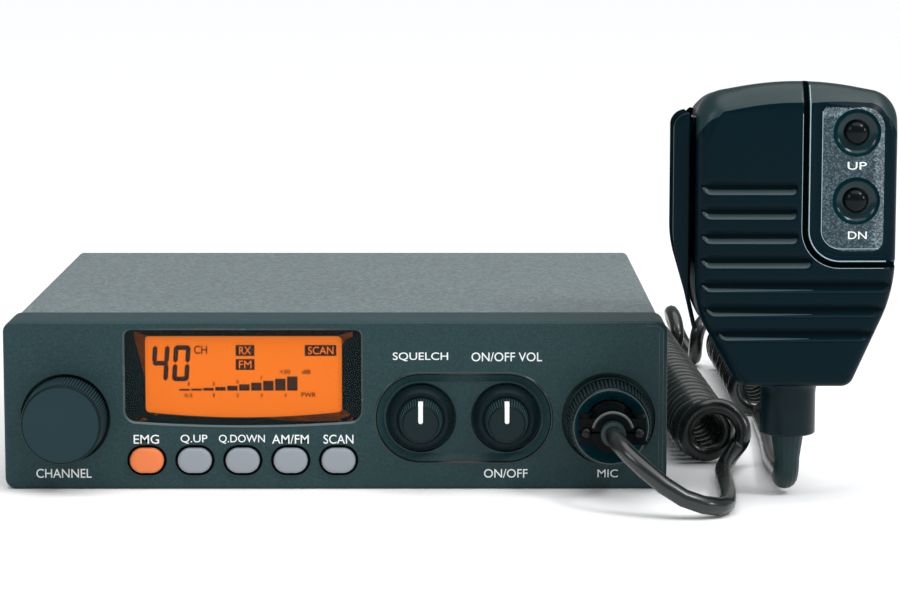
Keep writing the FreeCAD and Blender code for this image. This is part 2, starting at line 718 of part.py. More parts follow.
def potentiometer(x):
    """A round control with its bushing and three tags."""
    front = PAIR_WELL_Y + CUP_FLOOR + SEAT_GAP
    can = bar_y(POT_RADIUS, x, DIAL_Z, front, CONTROL_BOARD_Y)
    bushing = bar_y(BUSHING_RADIUS, x, DIAL_Z, front - CUP_FLOOR, front)
    tags = [box(x + dx - 0.6, x + dx + 0.6, CONTROL_BOARD_Y - 1.0, CONTROL_BOARD_Y,
                DIAL_Z - POT_RADIUS - 3.0, DIAL_Z) for dx in (-5.0, 0.0, 5.0)]
    bore = bar_y(SHAFT_RADIUS + RUNNING_GAP, x, DIAL_Z, front - CUP_FLOOR, SHAFT_END_Y + SHAFT_ROOM, ROUND)
    return joined([can, bushing] + tags).cut(bore)


def display_parts():
    """Lens, mask, liquid crystal panel and its lamp block, front to back."""
    lens = plate(window_corners(GLUE_GAP, GLUE_GAP, WINDOW_CORNER, WINDOW_FOOT_CORNER),
                 FRONT_Y + LENS_SINK, FACE_BACK_Y)
    left = WINDOW_LEFT - MASK_LAP
    right = WINDOW_RIGHT + MASK_LAP
    foot = WINDOW_FOOT - WINDOW_BOW - MASK_LAP
    lap = [(left, foot, 1), (right, foot, 1), (right, WINDOW_TOP, 1), (left, WINDOW_TOP, 1)]
    aperture = window_corners(LCD_SIDE_INSET, LCD_HEIGHT_INSET, 1.3, 1.3)
    mask = plate(lap, FACE_BACK_Y, MASK_BACK_Y).cut(plate(aperture, FACE_BACK_Y - 1, MASK_BACK_Y + 1))
    x0 = WINDOW_LEFT + LCD_SIDE_INSET / 2
    x1 = WINDOW_RIGHT - LCD_SIDE_INSET / 2
    z0 = WINDOW_FOOT - WINDOW_BOW + LCD_HEIGHT_INSET / 2
    z1 = WINDOW_TOP - LCD_HEIGHT_INSET / 2
    lcd = box(x0, x1, MASK_BACK_Y, LCD_BACK_Y, z0, z1)
    lamp = box(x0, x1, LCD_BACK_Y, CONTROL_BOARD_Y, z0, z1)
    return {"display_lens": lens, "display_mask": mask, "lcd_panel": lcd, "lcd_lamp_block": lamp}


def push_key(x):
    """A button cap with the flange that keeps it in and the stem to its switch."""
    cap_front = FRONT_Y - KEY_PROUD
    flange_front = FACE_BACK_Y + SEAT_GAP
    flange_back = flange_front + KEY_FLANGE
    cap = plate(rectangle(x, KEY_Z, KEY_WIDTH, KEY_HEIGHT, KEY_HEIGHT / 2), cap_front, flange_front)
    rim = edges_at_y(cap_front)
    cap = cap.makeChamfer(KEY_EDGE, [e for e in cap.Edges if rim(e)])
    half = KEY_WIDTH / 2 + KEY_FLANGE_LAP
    rise = KEY_HEIGHT / 2 + KEY_FLANGE_LAP
    flange = box(x - half, x + half, flange_front, flange_back, KEY_Z - rise, KEY_Z + rise)
    switch_front = CONTROL_BOARD_Y - SWITCH_HEIGHT
    stem = bar_y(KEY_STEM_RADIUS, x, KEY_Z, flange_back, switch_front - KEY_TRAVEL - 0.3)
    pin = bar_y(KEY_PIN_RADIUS, x, KEY_Z, flange_back, switch_front + 1.0)
    return joined([cap, flange, stem, pin])


def tact_switches():
    """The five switches on the board, each with a well for its button's pin."""
    front = CONTROL_BOARD_Y - SWITCH_HEIGHT
    half = SWITCH_SIZE / 2
    switches = []
    for x in KEY_X:
        case = box(x - half, x + half, front, CONTROL_BOARD_Y, KEY_Z - half, KEY_Z + half)
        well = bar_y(KEY_PIN_RADIUS + 0.2, x, KEY_Z, front, front + 1.0 + KEY_TRAVEL + 0.4)
        switches.append(case.cut(well))
    return group(switches)


def control_board():
    """The upright board that carries everything behind the panel."""
    board = box(CONTROL_BOARD_LEFT, CONTROL_BOARD_RIGHT, CONTROL_BOARD_Y, BOARD_BACK_Y,
                CONTROL_BOARD_FOOT, CONTROL_BOARD_TOP)
    holes = [bar_y(SCREW_RADIUS + KEY_GAP, x, z, CONTROL_BOARD_Y, BOARD_BACK_Y)
             for x in STANDOFF_X for z in STANDOFF_Z]
    corner = PANEL_BOSS_X - PANEL_BOSS_RADIUS - KEY_GAP
    notches = [box(-SET_WIDTH / 2, -corner, CONTROL_BOARD_Y, BOARD_BACK_Y,
                   z - PANEL_BOSS_RADIUS - 1, z + PANEL_BOSS_RADIUS + 1) for z in PANEL_BOSS_Z]
    return board.cut(group(holes + notches))


def mic_socket():
    """The threaded four-pin socket on the floor of the microphone well."""
    flange_front = MIC_FLOOR_Y - SOCKET_FLANGE
    front = flange_front - SOCKET_REACH
    back = MIC_FLOOR_Y + SOCKET_TAIL
    barrel = bar_y(SOCKET_RADIUS, MIC_X, MIC_Z, front, back, ROUND)
    flange = bar_y(SOCKET_FLANGE_RADIUS, MIC_X, MIC_Z, flange_front, MIC_FLOOR_Y)
    bore = bar_y(SOCKET_BORE, MIC_X, MIC_Z, front, MIC_FLOOR_Y + SOCKET_BORE_SINK)
    ways = [bar_y(CONTACT_RADIUS + THREAD_GAP, MIC_X + dx, MIC_Z + dz, front, back)
            for dx, dz in around(4, CONTACT_CIRCLE)]
    return joined([barrel, flange]).cut(group([bore] + ways))


def around(count, circle, turn=45.0):
    """Offsets of count places on a circle."""
    angles = [math.radians(turn + 360.0 * i / count) for i in range(count)]
    return [(circle * math.cos(a), circle * math.sin(a)) for a in angles]


def mic_contacts():
    """The socket's four contact pins with their solder tails."""
    front = SOCKET_FRONT_Y + 1.0
    back = MIC_FLOOR_Y + SOCKET_TAIL + 2.0
    places = around(4, CONTACT_CIRCLE)
    return group(bar_y(CONTACT_RADIUS, MIC_X + dx, MIC_Z + dz, front, back) for dx, dz in places)


def mic_socket_nut():
    """The hexagon nut that draws the socket's flange against the well floor."""
    front = MIC_FLOOR_Y + MIC_WELL_FLOOR
    corners = [(MIC_X + dx, MIC_Z + dz, 0) for dx, dz in around(6, SOCKET_RADIUS + 3.0, 30.0)]
    nut = plate(corners, front, front + SOCKET_NUT)
    return nut.cut(bar_y(SOCKET_RADIUS + THREAD_GAP, MIC_X, MIC_Z, front, front + SOCKET_NUT))


SOCKET_FRONT_Y = MIC_FLOOR_Y - SOCKET_FLANGE - SOCKET_REACH
RING_BASE_Y = MIC_FLOOR_Y - SOCKET_FLANGE - 0.4
RING_LIP_Y = FRONT_Y - RING_REACH
RING_CONE_Y = RING_LIP_Y + RING_CONE_DEPTH
SLEEVE_END_Y = FRONT_Y - PLUG_SLEEVE_REACH


def plug_ring():
    """The knurled ring that screws the plug onto the socket."""
    lip = 0.9
    ribs = ribbed_y(MIC_X, MIC_Z, RING_LIP_Y + lip, RING_LIP_RADIUS + 0.15, RING_BASE_Y - lip,
                    RING_BASE_RADIUS, RING_RIBS, RIB_DEPTH)
    ends = [
        bar_y(RING_LIP_RADIUS, MIC_X, MIC_Z, RING_LIP_Y, RING_LIP_Y + lip),
        bar_y(RING_BASE_RADIUS - RIB_DEPTH, MIC_X, MIC_Z, RING_BASE_Y - lip, RING_BASE_Y),
    ]
    thread_end = SOCKET_FRONT_Y - PLUG_FLANGE - 0.3
    thread = bar_y(SOCKET_RADIUS + RUNNING_GAP, MIC_X, MIC_Z, thread_end, RING_BASE_Y, ROUND)
    throat = bar_y(PLUG_NOSE_RADIUS + RUNNING_GAP, MIC_X, MIC_Z, RING_LIP_Y, RING_BASE_Y, ROUND)
    cone = turned_y([
        (0, RING_LIP_Y - 0.01),
        (RING_LIP_RADIUS - 0.7, RING_LIP_Y - 0.01),
        (PLUG_NOSE_RADIUS + 0.4, RING_CONE_Y),
        (0, RING_CONE_Y),
    ], MIC_X, MIC_Z)
    return joined([ribs] + ends).cut(thread).cut(throat).cut(cone)


def plug_body():
    """The plug's metal body: nose in the socket, flange under the ring, rear sleeve."""
    nose_y = MIC_FLOOR_Y - SOCKET_FLANGE
    flange_y = SOCKET_FRONT_Y - 0.1
    body = joined([
        bar_y(PLUG_NOSE_RADIUS, MIC_X, MIC_Z, RING_CONE_Y, nose_y, ROUND),
        bar_y(PLUG_FLANGE_RADIUS, MIC_X, MIC_Z, flange_y - PLUG_FLANGE, flange_y),
        bar_y(PLUG_SLEEVE_RADIUS, MIC_X, MIC_Z, SLEEVE_END_Y, RING_CONE_Y, ROUND),
    ])
    wells = [bar_y(CONTACT_RADIUS + GLUE_GAP, MIC_X + dx, MIC_Z + dz, SOCKET_FRONT_Y + 0.5, nose_y)
             for dx, dz in around(4, CONTACT_CIRCLE)]
    return body.cut(group(wells))


def plug_clamp():
    """The two saddle halves that grip the cord behind the sleeve."""
    y0 = SLEEVE_END_Y - CLAMP_LENGTH
    half = CLAMP_SPAN / 2
    halves = []
    for sign in (-1, 1):
        z0 = MIC_Z + sign * 0.3
        z1 = MIC_Z + sign * CLAMP_HEIGHT / 2
        ears = box(MIC_X - half, MIC_X + half, y0 + 1.2, SLEEVE_END_Y, min(z0, z1), max(z0, z1))
        collar = bar_y(PLUG_SLEEVE_RADIUS, MIC_X, MIC_Z, y0, SLEEVE_END_Y, ROUND)
        low, high = sorted((z0, MIC_Z + sign * CLAMP_SPAN / 2))
        keep = box(MIC_X - half, MIC_X + half, y0, SLEEVE_END_Y, low, high)
        saddle = joined([ears, collar.common(keep)])
        saddle = saddle.cut(bar_y(BOOT_RADIUS + THREAD_GAP, MIC_X, MIC_Z, y0, SLEEVE_END_Y, ROUND))
        halves.append(saddle.cut(group(clamp_screw_bars(SCREW_RADIUS + THREAD_GAP))))
    return group(halves + clamp_screws())


def clamp_screw_bars(radius):
    """Upright bars through the clamp's two ears."""
    x = CLAMP_SPAN / 2 - 1.9
    y = SLEEVE_END_Y - (CLAMP_LENGTH - 1.2) / 2
    z = CLAMP_HEIGHT / 2
    return [bar_z(radius, MIC_X + s * x, y, MIC_Z - z, MIC_Z + z) for s in (-1, 1)]


def clamp_screws():
    """The two small screws through the clamp."""
    x = CLAMP_SPAN / 2 - 1.9
    y = SLEEVE_END_Y - (CLAMP_LENGTH - 1.2) / 2
    top = MIC_Z + CLAMP_HEIGHT / 2
    heads = [bar_z(1.7, MIC_X + s * x, y, top, top + 1.1) for s in (-1, 1)]
    return [joined(pair) for pair in zip(clamp_screw_bars(SCREW_RADIUS), heads)]


BOOT_END_Y = SLEEVE_END_Y - CLAMP_LENGTH - BOOT_LENGTH


def cord_boot():
    """The rubber sleeve moulded on the cord where the clamp grips it."""
    return bar_y(BOOT_RADIUS, MIC_X, MIC_Z, BOOT_END_Y, SLEEVE_END_Y, ROUND)


def cover_shell():
    """The folded sheet round the set, before it is parted at the seam."""
    width = 2 * COVER_HALF_WIDTH
    outer = plate(rectangle(0, COVER_TOP_Z / 2, width, COVER_TOP_Z, COVER_BEND), PANEL_REAR_Y, REAR_Y)
    inner = rectangle(0, COVER_TOP_Z / 2, width - 2 * COVER_SHEET, COVER_TOP_Z - 2 * COVER_SHEET,
                      COVER_BEND - COVER_SHEET)
    shell = outer.cut(plate(inner, PANEL_REAR_Y, REAR_Y))
    holes = []
    for y in COVER_SCREW_Y:
        for z in COVER_SCREW_Z:
            holes.append(bar_x(SCREW_RADIUS + KEY_GAP, -SET_WIDTH, SET_WIDTH, y, z))
    holes.append(bar_x(BRACKET_OPENING_RADIUS, -SET_WIDTH, SET_WIDTH, BRACKET_Y, BRACKET_Z, ROUND))
    return shell.cut(group(holes))


def top_cover():
    """The upper cover with its short side flanges."""
    keep = box(-SET_WIDTH, SET_WIDTH, FRONT_Y, REAR_Y, COVER_SEAM_Z + COVER_SEAM_GAP / 2, SET_HEIGHT)
    return cover_shell().common(keep)


def bottom_cover():
    """The lower cover with the loudspeaker slots and clips."""
    keep = box(-SET_WIDTH, SET_WIDTH, FRONT_Y, REAR_Y, -1, COVER_SEAM_Z - COVER_SEAM_GAP / 2)
    cover = cover_shell().common(keep)
    slots = []
    for i in range(SLOT_COUNT):
        y = (i - (SLOT_COUNT - 1) / 2) * SLOT_PITCH
        half = math.sqrt(SLOT_FIELD_RADIUS ** 2 - y ** 2)
        slots.append(box(-half, half, SPEAKER_Y + y - SLOT_WIDTH / 2, SPEAKER_Y + y + SLOT_WIDTH / 2,
                         -1, COVER_SHEET + 1))
    return joined([cover.cut(group(slots))] + [speaker_clip(a) for a in CLIP_ANGLES])


def speaker_clip(angle):
    """A bent tab that holds the loudspeaker's rim down on the cover."""
    top = SPEAKER_Z + SPEAKER_RIM + SEAT_GAP
    out = SPEAKER_RADIUS / math.cos(math.pi / BAR_SIDES) + SEAT_GAP
    post = box(out, out + 1.2, -3, 3, SPEAKER_Z, top + 1.0)
    finger = box(out - 2.5, out + 1.2, -3, 3, top, top + 1.0)
    tab = joined([post, finger])
    tab.rotate(Vector(0, 0, 0), Vector(0, 0, 1), angle)
    tab.translate(Vector(0, SPEAKER_Y, 0))
    return tab


def chassis_frame():
    """The folded frame: two sides, a front wall and a shelf for the main board."""
    foot = COVER_SHEET + SEAT_GAP
    top = COVER_TOP_Z - COVER_SHEET - SEAT_GAP
    wide = CHASSIS_HALF_WIDTH
    rear = REAR_PLATE_Y - SEAT_GAP
    front = box(-wide, wide, CHASSIS_FRONT_Y, CHASSIS_FRONT_Y + CHASSIS_SHEET, foot, top)
    walls = [front]
    for sign in (-1, 1):
        x0, x1 = sorted((sign * wide, sign * (wide - CHASSIS_SHEET)))
        walls.append(box(x0, x1, CHASSIS_FRONT_Y, rear, foot, top))
        s0, s1 = sorted((sign * wide, sign * (wide - CHASSIS_SHEET - SHELF_WIDTH)))
        walls.append(box(s0, s1, SHELF_FRONT_Y, SHELF_REAR_Y, SHELF_Z, SHELF_TOP_Z))
        b0, b1 = sorted((sign * wide, sign * (wide - CHASSIS_SHEET - BRACKET_BOSS_LENGTH)))
        walls.append(bar_x(BRACKET_BOSS_RADIUS, b0, b1, BRACKET_Y, BRACKET_Z))
        t0, t1 = sorted((sign * wide, sign * (wide - CHASSIS_SHEET - REAR_TAB)))
        for z in REAR_SCREW_Z:
            walls.append(box(t0, t1, rear - CHASSIS_SHEET, rear, z - REAR_TAB / 2, z + REAR_TAB / 2))
    envelope = rectangle(0, (foot + top) / 2, 2 * wide, top - foot, COVER_BEND - COVER_SHEET)
    room = plate(envelope, CHASSIS_FRONT_Y, rear)
    return joined(walls).common(room).cut(group(chassis_openings(wide)))


def chassis_openings(wide):
    """Wiring window, screw holes and threaded holes in the frame."""
    reach = 1.0
    lap = PANEL_REAR_Y + SEAT_GAP
    foot = PANEL_SIDE_WALL + 2 * SEAT_GAP
    top = SET_HEIGHT - PANEL_SIDE_WALL - 2 * SEAT_GAP
    wall_back = CHASSIS_FRONT_Y + CHASSIS_SHEET
    cuts = [
        box(WIRE_WINDOW_LEFT, WIRE_WINDOW_RIGHT, CHASSIS_FRONT_Y, wall_back, *REAR_SCREW_Z),
        box(-wide, wide, CHASSIS_FRONT_Y, lap, 0, foot),
        box(-wide, wide, CHASSIS_FRONT_Y, lap, top, SET_HEIGHT),
    ]
    rear = REAR_PLATE_Y - SEAT_GAP
    for x in (-REAR_SCREW_X, REAR_SCREW_X):
        for z in REAR_SCREW_Z:
            cuts.append(bar_y(SCREW_RADIUS + THREAD_GAP, x, z, rear - CHASSIS_SHEET, rear))
    cuts.append(bar_y(SOCKET_RADIUS + 2, MIC_X, MIC_Z, CHASSIS_FRONT_Y, wall_back))
    for x in (-PANEL_BOSS_X, PANEL_BOSS_X):
        for z in PANEL_BOSS_Z:
            cuts.append(bar_y(SCREW_RADIUS + KEY_GAP, x, z, CHASSIS_FRONT_Y, wall_back))
    for y in COVER_SCREW_Y:
        for z in COVER_SCREW_Z:
            for sign in (-1, 1):
                x0, x1 = sorted((sign * (wide + reach), sign * (wide - CHASSIS_SHEET - reach)))
                cuts.append(bar_x(SCREW_RADIUS + THREAD_GAP, x0, x1, y, z))
    boss_end = wide - CHASSIS_SHEET - BRACKET_BOSS_LENGTH
    for sign in (-1, 1):
        x0, x1 = sorted((sign * (wide + reach), sign * (boss_end - reach)))
        cuts.append(bar_x(BRACKET_THREAD_RADIUS, x0, x1, BRACKET_Y, BRACKET_Z, ROUND))
    for x, y in main_screw_places():
        cuts.append(bar_z(SCREW_RADIUS + THREAD_GAP, x, y, SHELF_Z, SHELF_TOP_Z))
    return cuts


def cover_screws():
    """The eight side screws that hold both covers to the frame."""
    bite = COVER_HALF_WIDTH - CHASSIS_HALF_WIDTH + CHASSIS_SHEET + SCREW_PAST
    screws = []
    for y in COVER_SCREW_Y:
        for z in COVER_SCREW_Z:
            for sign in (-1, 1):
                screws.append(screw(Vector(sign * COVER_HALF_WIDTH, y, z), Vector(-sign, 0, 0), bite))
    return screws


def panel_screws():
    """Screws that draw the panel against the frame and the board onto its posts."""
    forward = Vector(0, -1, 0)
    wall = CHASSIS_FRONT_Y + CHASSIS_SHEET
    sides = (-PANEL_BOSS_X, PANEL_BOSS_X)
    screws = [screw(Vector(x, wall, z), forward) for x in sides for z in PANEL_BOSS_Z]
    return screws + [screw(Vector(x, BOARD_BACK_Y, z), forward) for x in STANDOFF_X for z in STANDOFF_Z]


def main_screw_places():
    """Where the main board is screwed to the shelf."""
    x = MAIN_BOARD_WIDTH / 2 - MAIN_SCREW_INSET
    ys = (MAIN_BOARD_FRONT_Y + MAIN_SCREW_INSET, MAIN_BOARD_REAR_Y - MAIN_SCREW_INSET)
    return [(sign * x, y) for sign in (-1, 1) for y in ys]


def main_board():
    """The printed board with the radio's circuits."""
    half = MAIN_BOARD_WIDTH / 2
    board = box(-half, half, MAIN_BOARD_FRONT_Y, MAIN_BOARD_REAR_Y, SHELF_TOP_Z, MAIN_BOARD_TOP)
    hole = SCREW_RADIUS + KEY_GAP
    holes = [bar_z(hole, x, y, SHELF_TOP_Z, MAIN_BOARD_TOP) for x, y in main_screw_places()]
    return board.cut(group(holes))


def main_board_screws():
    """Four screws through the board into the shelf."""
    bite = MAIN_BOARD_TOP - SHELF_Z + SCREW_PAST
    return [screw(Vector(x, y, MAIN_BOARD_TOP), Vector(0, 0, -1), bite) for x, y in main_screw_places()]


def rear_screws():
    """Screws through the rear panel and through the aerial socket's flange."""
    forward = Vector(0, -1, 0)
    flange_y = REAR_Y + AERIAL_FLANGE_THICKNESS
    sides = (-REAR_SCREW_X, REAR_SCREW_X)
    screws = [screw(Vector(x, REAR_Y, z), forward) for x in sides for z in REAR_SCREW_Z]
    return screws + [screw(Vector(x, flange_y, z), forward) for x, z in aerial_screw_places()]


def tuned_coils():
    """Screened coil cans in a row on the board."""
    size = 7.0
    cans = []
    for i in range(6):
        x = -60.0 + 13.0 * i
        for y in (-26.0, -4.0):
            cans.append(box(x, x + size, y, y + size, MAIN_BOARD_TOP, MAIN_BOARD_TOP + 9.5))
    return cans


def power_capacitors():
    """The tall electrolytic capacitors and the supply choke beside them."""
    cans = [bar_z(6.3, 62.0, y, MAIN_BOARD_TOP, MAIN_BOARD_TOP + 12.0) for y in (30.0, 46.0)]
    cans += [bar_z(4.0, x, 48.0, MAIN_BOARD_TOP, MAIN_BOARD_TOP + 10.0) for x in (44.0, 30.0)]
    core = bar_z(9.0, 60.0, 4.0, MAIN_BOARD_TOP, MAIN_BOARD_TOP + 9.0)
    return cans + [core.cut(bar_z(3.5, 60.0, 4.0, MAIN_BOARD_TOP, MAIN_BOARD_TOP + 9.0))]


def circuit_chips():
    """The flat integrated circuits and the synthesiser's crystal."""
    places = [(-60.0, 20.0, 24.0, 8.0), (-20.0, 24.0, 20.0, 8.0)]
    places += [(-54.0, 44.0, 18.0, 8.0), (0.0, 40.0, 10.0, 12.0)]
    return [box(x, x + w, y, y + d, MAIN_BOARD_TOP, MAIN_BOARD_TOP + 3.5) for x, y, w, d in places]


def power_transistors():
    """Output and regulator transistors clamped against the rear panel."""
    bodies = []
    for x in TRANSISTOR_X:
        back = REAR_PLATE_Y - SEAT_GAP
        tab = box(x - 5, x + 5, back - 1.3, back, MAIN_BOARD_TOP + 1.0, MAIN_BOARD_TOP + 12.5)
        case = box(x - 5, x + 5, back - 4.6, back - 1.3, MAIN_BOARD_TOP + 1.0, MAIN_BOARD_TOP + 8.5)
        bodies.append(joined([tab, case]))
    return group(bodies)


def speaker_frame():
    """The pressed basket of the loudspeaker, rim down on the slots."""
    z = SPEAKER_Z
    step = SPEAKER_CONE_RADIUS + 0.2
    seat = SPEAKER_RADIUS - 6.8
    profile = [
        (step, z),
        (SPEAKER_RADIUS, z),
        (SPEAKER_RADIUS, z + SPEAKER_RIM),
        (SPEAKER_RADIUS - 4.4, z + SPEAKER_RIM),
        (SPEAKER_NECK_RADIUS + BASKET_WALL, z + SPEAKER_HEIGHT),
        (SPEAKER_NECK_RADIUS - 8.5, z + SPEAKER_HEIGHT),
        (SPEAKER_NECK_RADIUS - 8.5, z + SPEAKER_HEIGHT - BASKET_WALL),
        (SPEAKER_NECK_RADIUS, z + SPEAKER_HEIGHT - BASKET_WALL),
        (seat, z + SPEAKER_STEP),
        (step, z + SPEAKER_STEP),
    ]
    return turned_z(profile, 0, SPEAKER_Y)


def speaker_cone():
    """The paper cone with its dust cap and the roll at its edge."""
    seat = SPEAKER_Z + SPEAKER_STEP
    front = seat - 0.6
    neck = 7.0
    deep = SPEAKER_Z + SPEAKER_HEIGHT - 3.6
    rim = SPEAKER_CONE_RADIUS
    profile = [
        (0, deep - 3.0),
        (neck, deep),
        (rim - 4.7, front),
        (rim, front),
        (rim, seat),
        (rim - 4.2, seat),
        (neck, deep + 0.8),
        (0, deep - 2.2),
    ]
    return turned_z(profile, 0, SPEAKER_Y)


def speaker_magnet():
    """The ring magnet with its plates, and the pole piece through them."""
    z = SPEAKER_Z + SPEAKER_HEIGHT
    ring = bar_z(MAGNET_RADIUS, 0, SPEAKER_Y, z, z + MAGNET_HEIGHT)
    plate_top = bar_z(MAGNET_RADIUS - 1.5, 0, SPEAKER_Y, z + MAGNET_HEIGHT, z + MAGNET_HEIGHT + 2)
    pole = bar_z(5.0, 0, SPEAKER_Y, z - 1.5, z + MAGNET_HEIGHT)
    return joined([ring, plate_top, pole])


def rear_panel():
    """The cast rear plate with its cooling fins and socket openings."""
    foot = COVER_SHEET + SEAT_GAP
    top = COVER_TOP_Z - COVER_SHEET - SEAT_GAP
    wide = INNER_HALF_WIDTH - SEAT_GAP
    shape = rectangle(0, (foot + top) / 2, 2 * wide, top - foot, COVER_BEND - COVER_SHEET)
    base = plate(shape, REAR_PLATE_Y, REAR_Y)
    fins = []
    for i in range(FIN_COUNT):
        x = FIN_FIRST_X + FIN_PITCH * i
        fins.append(box(x, x + FIN_THICKNESS, REAR_Y, REAR_Y + FIN_REACH, FIN_FOOT, FIN_TOP))
    body = joined([base] + fins)
    inlet = rectangle(INLET_X, INLET_Z, INLET_WIDTH + 2 * SEAT_GAP, INLET_HEIGHT + 2 * SEAT_GAP)
    places = [(x, z) for x in (-REAR_SCREW_X, REAR_SCREW_X) for z in REAR_SCREW_Z] + aerial_screw_places()
    screw_holes = [bar_y(SCREW_RADIUS + KEY_GAP, x, z, REAR_PLATE_Y, REAR_Y) for x, z in places]
    return body.cut(group(screw_holes + [
        bar_y(AERIAL_RADIUS + SEAT_GAP, AERIAL_X, AERIAL_Z, REAR_PLATE_Y, REAR_Y),
        bar_y(JACK_RADIUS + SEAT_GAP, JACK_X, JACK_Z, REAR_PLATE_Y, REAR_Y),
        plate(inlet, REAR_PLATE_Y, REAR_Y),
    ]))


def aerial_socket():
    """The screw socket for the aerial plug, with its square flange."""
    back = REAR_PLATE_Y - 4.0
    barrel = bar_y(AERIAL_RADIUS, AERIAL_X, AERIAL_Z, back, REAR_Y + AERIAL_REACH, ROUND)
    flange = plate(rectangle(AERIAL_X, AERIAL_Z, AERIAL_FLANGE, AERIAL_FLANGE, 1.5),
                   REAR_Y, REAR_Y + AERIAL_FLANGE_THICKNESS)
    bore = bar_y(AERIAL_RADIUS - AERIAL_WALL, AERIAL_X, AERIAL_Z, back, REAR_Y + AERIAL_REACH, ROUND)
    holes = [bar_y(SCREW_RADIUS + KEY_GAP, x, z, REAR_Y, REAR_Y + AERIAL_FLANGE_THICKNESS)
             for x, z in aerial_screw_places()]
    return joined([barrel, flange]).cut(group([bore] + holes))


def aerial_insulator():
    """The insulating core of the aerial socket."""
    outer = AERIAL_RADIUS - AERIAL_WALL - THREAD_GAP
    core = bar_y(outer, AERIAL_X, AERIAL_Z, REAR_PLATE_Y - 4.0, REAR_Y + AERIAL_REACH - 5.0, ROUND)
    bore = AERIAL_CONTACT_RADIUS + THREAD_GAP
    hole = bar_y(bore, AERIAL_X, AERIAL_Z, REAR_PLATE_Y - 4.0, REAR_Y + AERIAL_REACH, ROUND)
    return core.cut(hole)


def aerial_contact():
    """The centre contact, a hollow pin open to the rear."""
    end = REAR_Y + AERIAL_REACH - 4.0
    pin = bar_y(AERIAL_CONTACT_RADIUS, AERIAL_X, AERIAL_Z, REAR_PLATE_Y - 6.0, end, ROUND)
    return pin.cut(bar_y(AERIAL_CONTACT_BORE, AERIAL_X, AERIAL_Z, end - 9.0, end, ROUND))


def aerial_screw_places():
    """Where the four screws go through the aerial socket's flange."""
    reach = AERIAL_FLANGE / 2 - 3.2
    return [(AERIAL_X + sx * reach, AERIAL_Z + sz * reach) for sx in (-1, 1) for sz in (-1, 1)]


def speaker_jack():
    """The socket for an outside loudspeaker, with its round nut."""
    front = REAR_Y - JACK_DEPTH
    body = joined([
        bar_y(JACK_RADIUS, JACK_X, JACK_Z, REAR_PLATE_Y, REAR_Y + 2.4, ROUND),
        box(JACK_X - 5.5, JACK_X + 5.5, front - 1.5, REAR_PLATE_Y - SEAT_GAP, JACK_Z - 5.5, JACK_Z + 5.5),
        bar_y(JACK_RADIUS, JACK_X, JACK_Z, REAR_PLATE_Y - SEAT_GAP, REAR_PLATE_Y),
    ])
    return body.cut(bar_y(JACK_BORE, JACK_X, JACK_Z, front, REAR_Y + 2.4, ROUND))


def speaker_jack_nut():
    """The nut that holds the loudspeaker socket."""
    nut = bar_y(JACK_NUT_RADIUS, JACK_X, JACK_Z, REAR_Y, REAR_Y + 1.8, ROUND)
    return nut.cut(bar_y(JACK_RADIUS + THREAD_GAP, JACK_X, JACK_Z, REAR_Y, REAR_Y + 1.8))


def power_inlet():
    """The supply socket: a shrouded box sunk into the rear panel."""
    end = REAR_Y + 2.0
    back = end - INLET_DEPTH
    block = plate(rectangle(INLET_X, INLET_Z, INLET_WIDTH, INLET_HEIGHT, 1.0), back, end)
    cavity = rectangle(INLET_X, INLET_Z, INLET_WIDTH - 2 * INLET_WALL, INLET_HEIGHT - 2 * INLET_WALL, 0.8)
    return block.cut(plate(cavity, back + INLET_WALL, end))


def inlet_pins():
    """The two supply pins."""
    end = REAR_Y + 0.5
    back = end - INLET_DEPTH + 1.5 + INLET_WALL
    places = (INLET_X - INLET_PIN_SPREAD, INLET_X + INLET_PIN_SPREAD)
    return group([bar_y(INLET_PIN_RADIUS, x, INLET_Z, back, end) for x in places])


def hand_outline(inset=0.0):
    """The microphone's outline seen from the front, drawn in by inset."""
    face = Part.Face(outline([(HAND_X + x, z, r) for x, z, r in (
        (-HAND_HALF_WIDTH, HAND_SHOULDER, HAND_SHOULDER_RADIUS),
        (0.0, HAND_TOP, HAND_CROWN_RADIUS),
        (HAND_HALF_WIDTH, HAND_SHOULDER, HAND_SHOULDER_RADIUS),
        (HAND_HIP_HALF_WIDTH, HAND_HIP, HAND_HIP_RADIUS),
        (HAND_FOOT_HALF_WIDTH, HAND_FOOT, HAND_FOOT_RADIUS),
        (-HAND_FOOT_HALF_WIDTH, HAND_FOOT, HAND_FOOT_RADIUS),
        (-HAND_HIP_HALF_WIDTH, HAND_HIP, HAND_HIP_RADIUS),
    )], 0.0))
    return face if inset == 0 else face.makeOffset2D(-inset)


def hand_slab(inset, y0, y1):
    """A slab with the microphone's outline from y0 to y1."""
    slab = hand_outline(inset).extrude(Vector(0, y1 - y0, 0))
    slab.translate(Vector(0, y0, 0))
    return slab


def gland_half(front):
    """Half of the boss at the foot that holds the strain relief."""
    boss = bar_z(GLAND_RADIUS, HAND_X, HAND_SEAM_Y, GLAND_FOOT, HAND_FOOT + HAND_WALL, ROUND)
    y0, y1 = (HAND_FRONT_Y, HAND_SEAM_Y) if front else (HAND_SEAM_Y, HAND_REAR_Y)
    return boss.common(box(HAND_X - 20, HAND_X + 20, y0, y1, 0, HAND_FOOT + 20))


RELIEF_FLANGE_Z = GLAND_FOOT + 4.0
RELIEF_FLANGE_TOP = RELIEF_FLANGE_Z + 2.5
RELIEF_BEND_Z = RELIEF_END_Z + RELIEF_BEND_RADIUS
RELIEF_TOP_Z = HAND_FOOT + 3.5


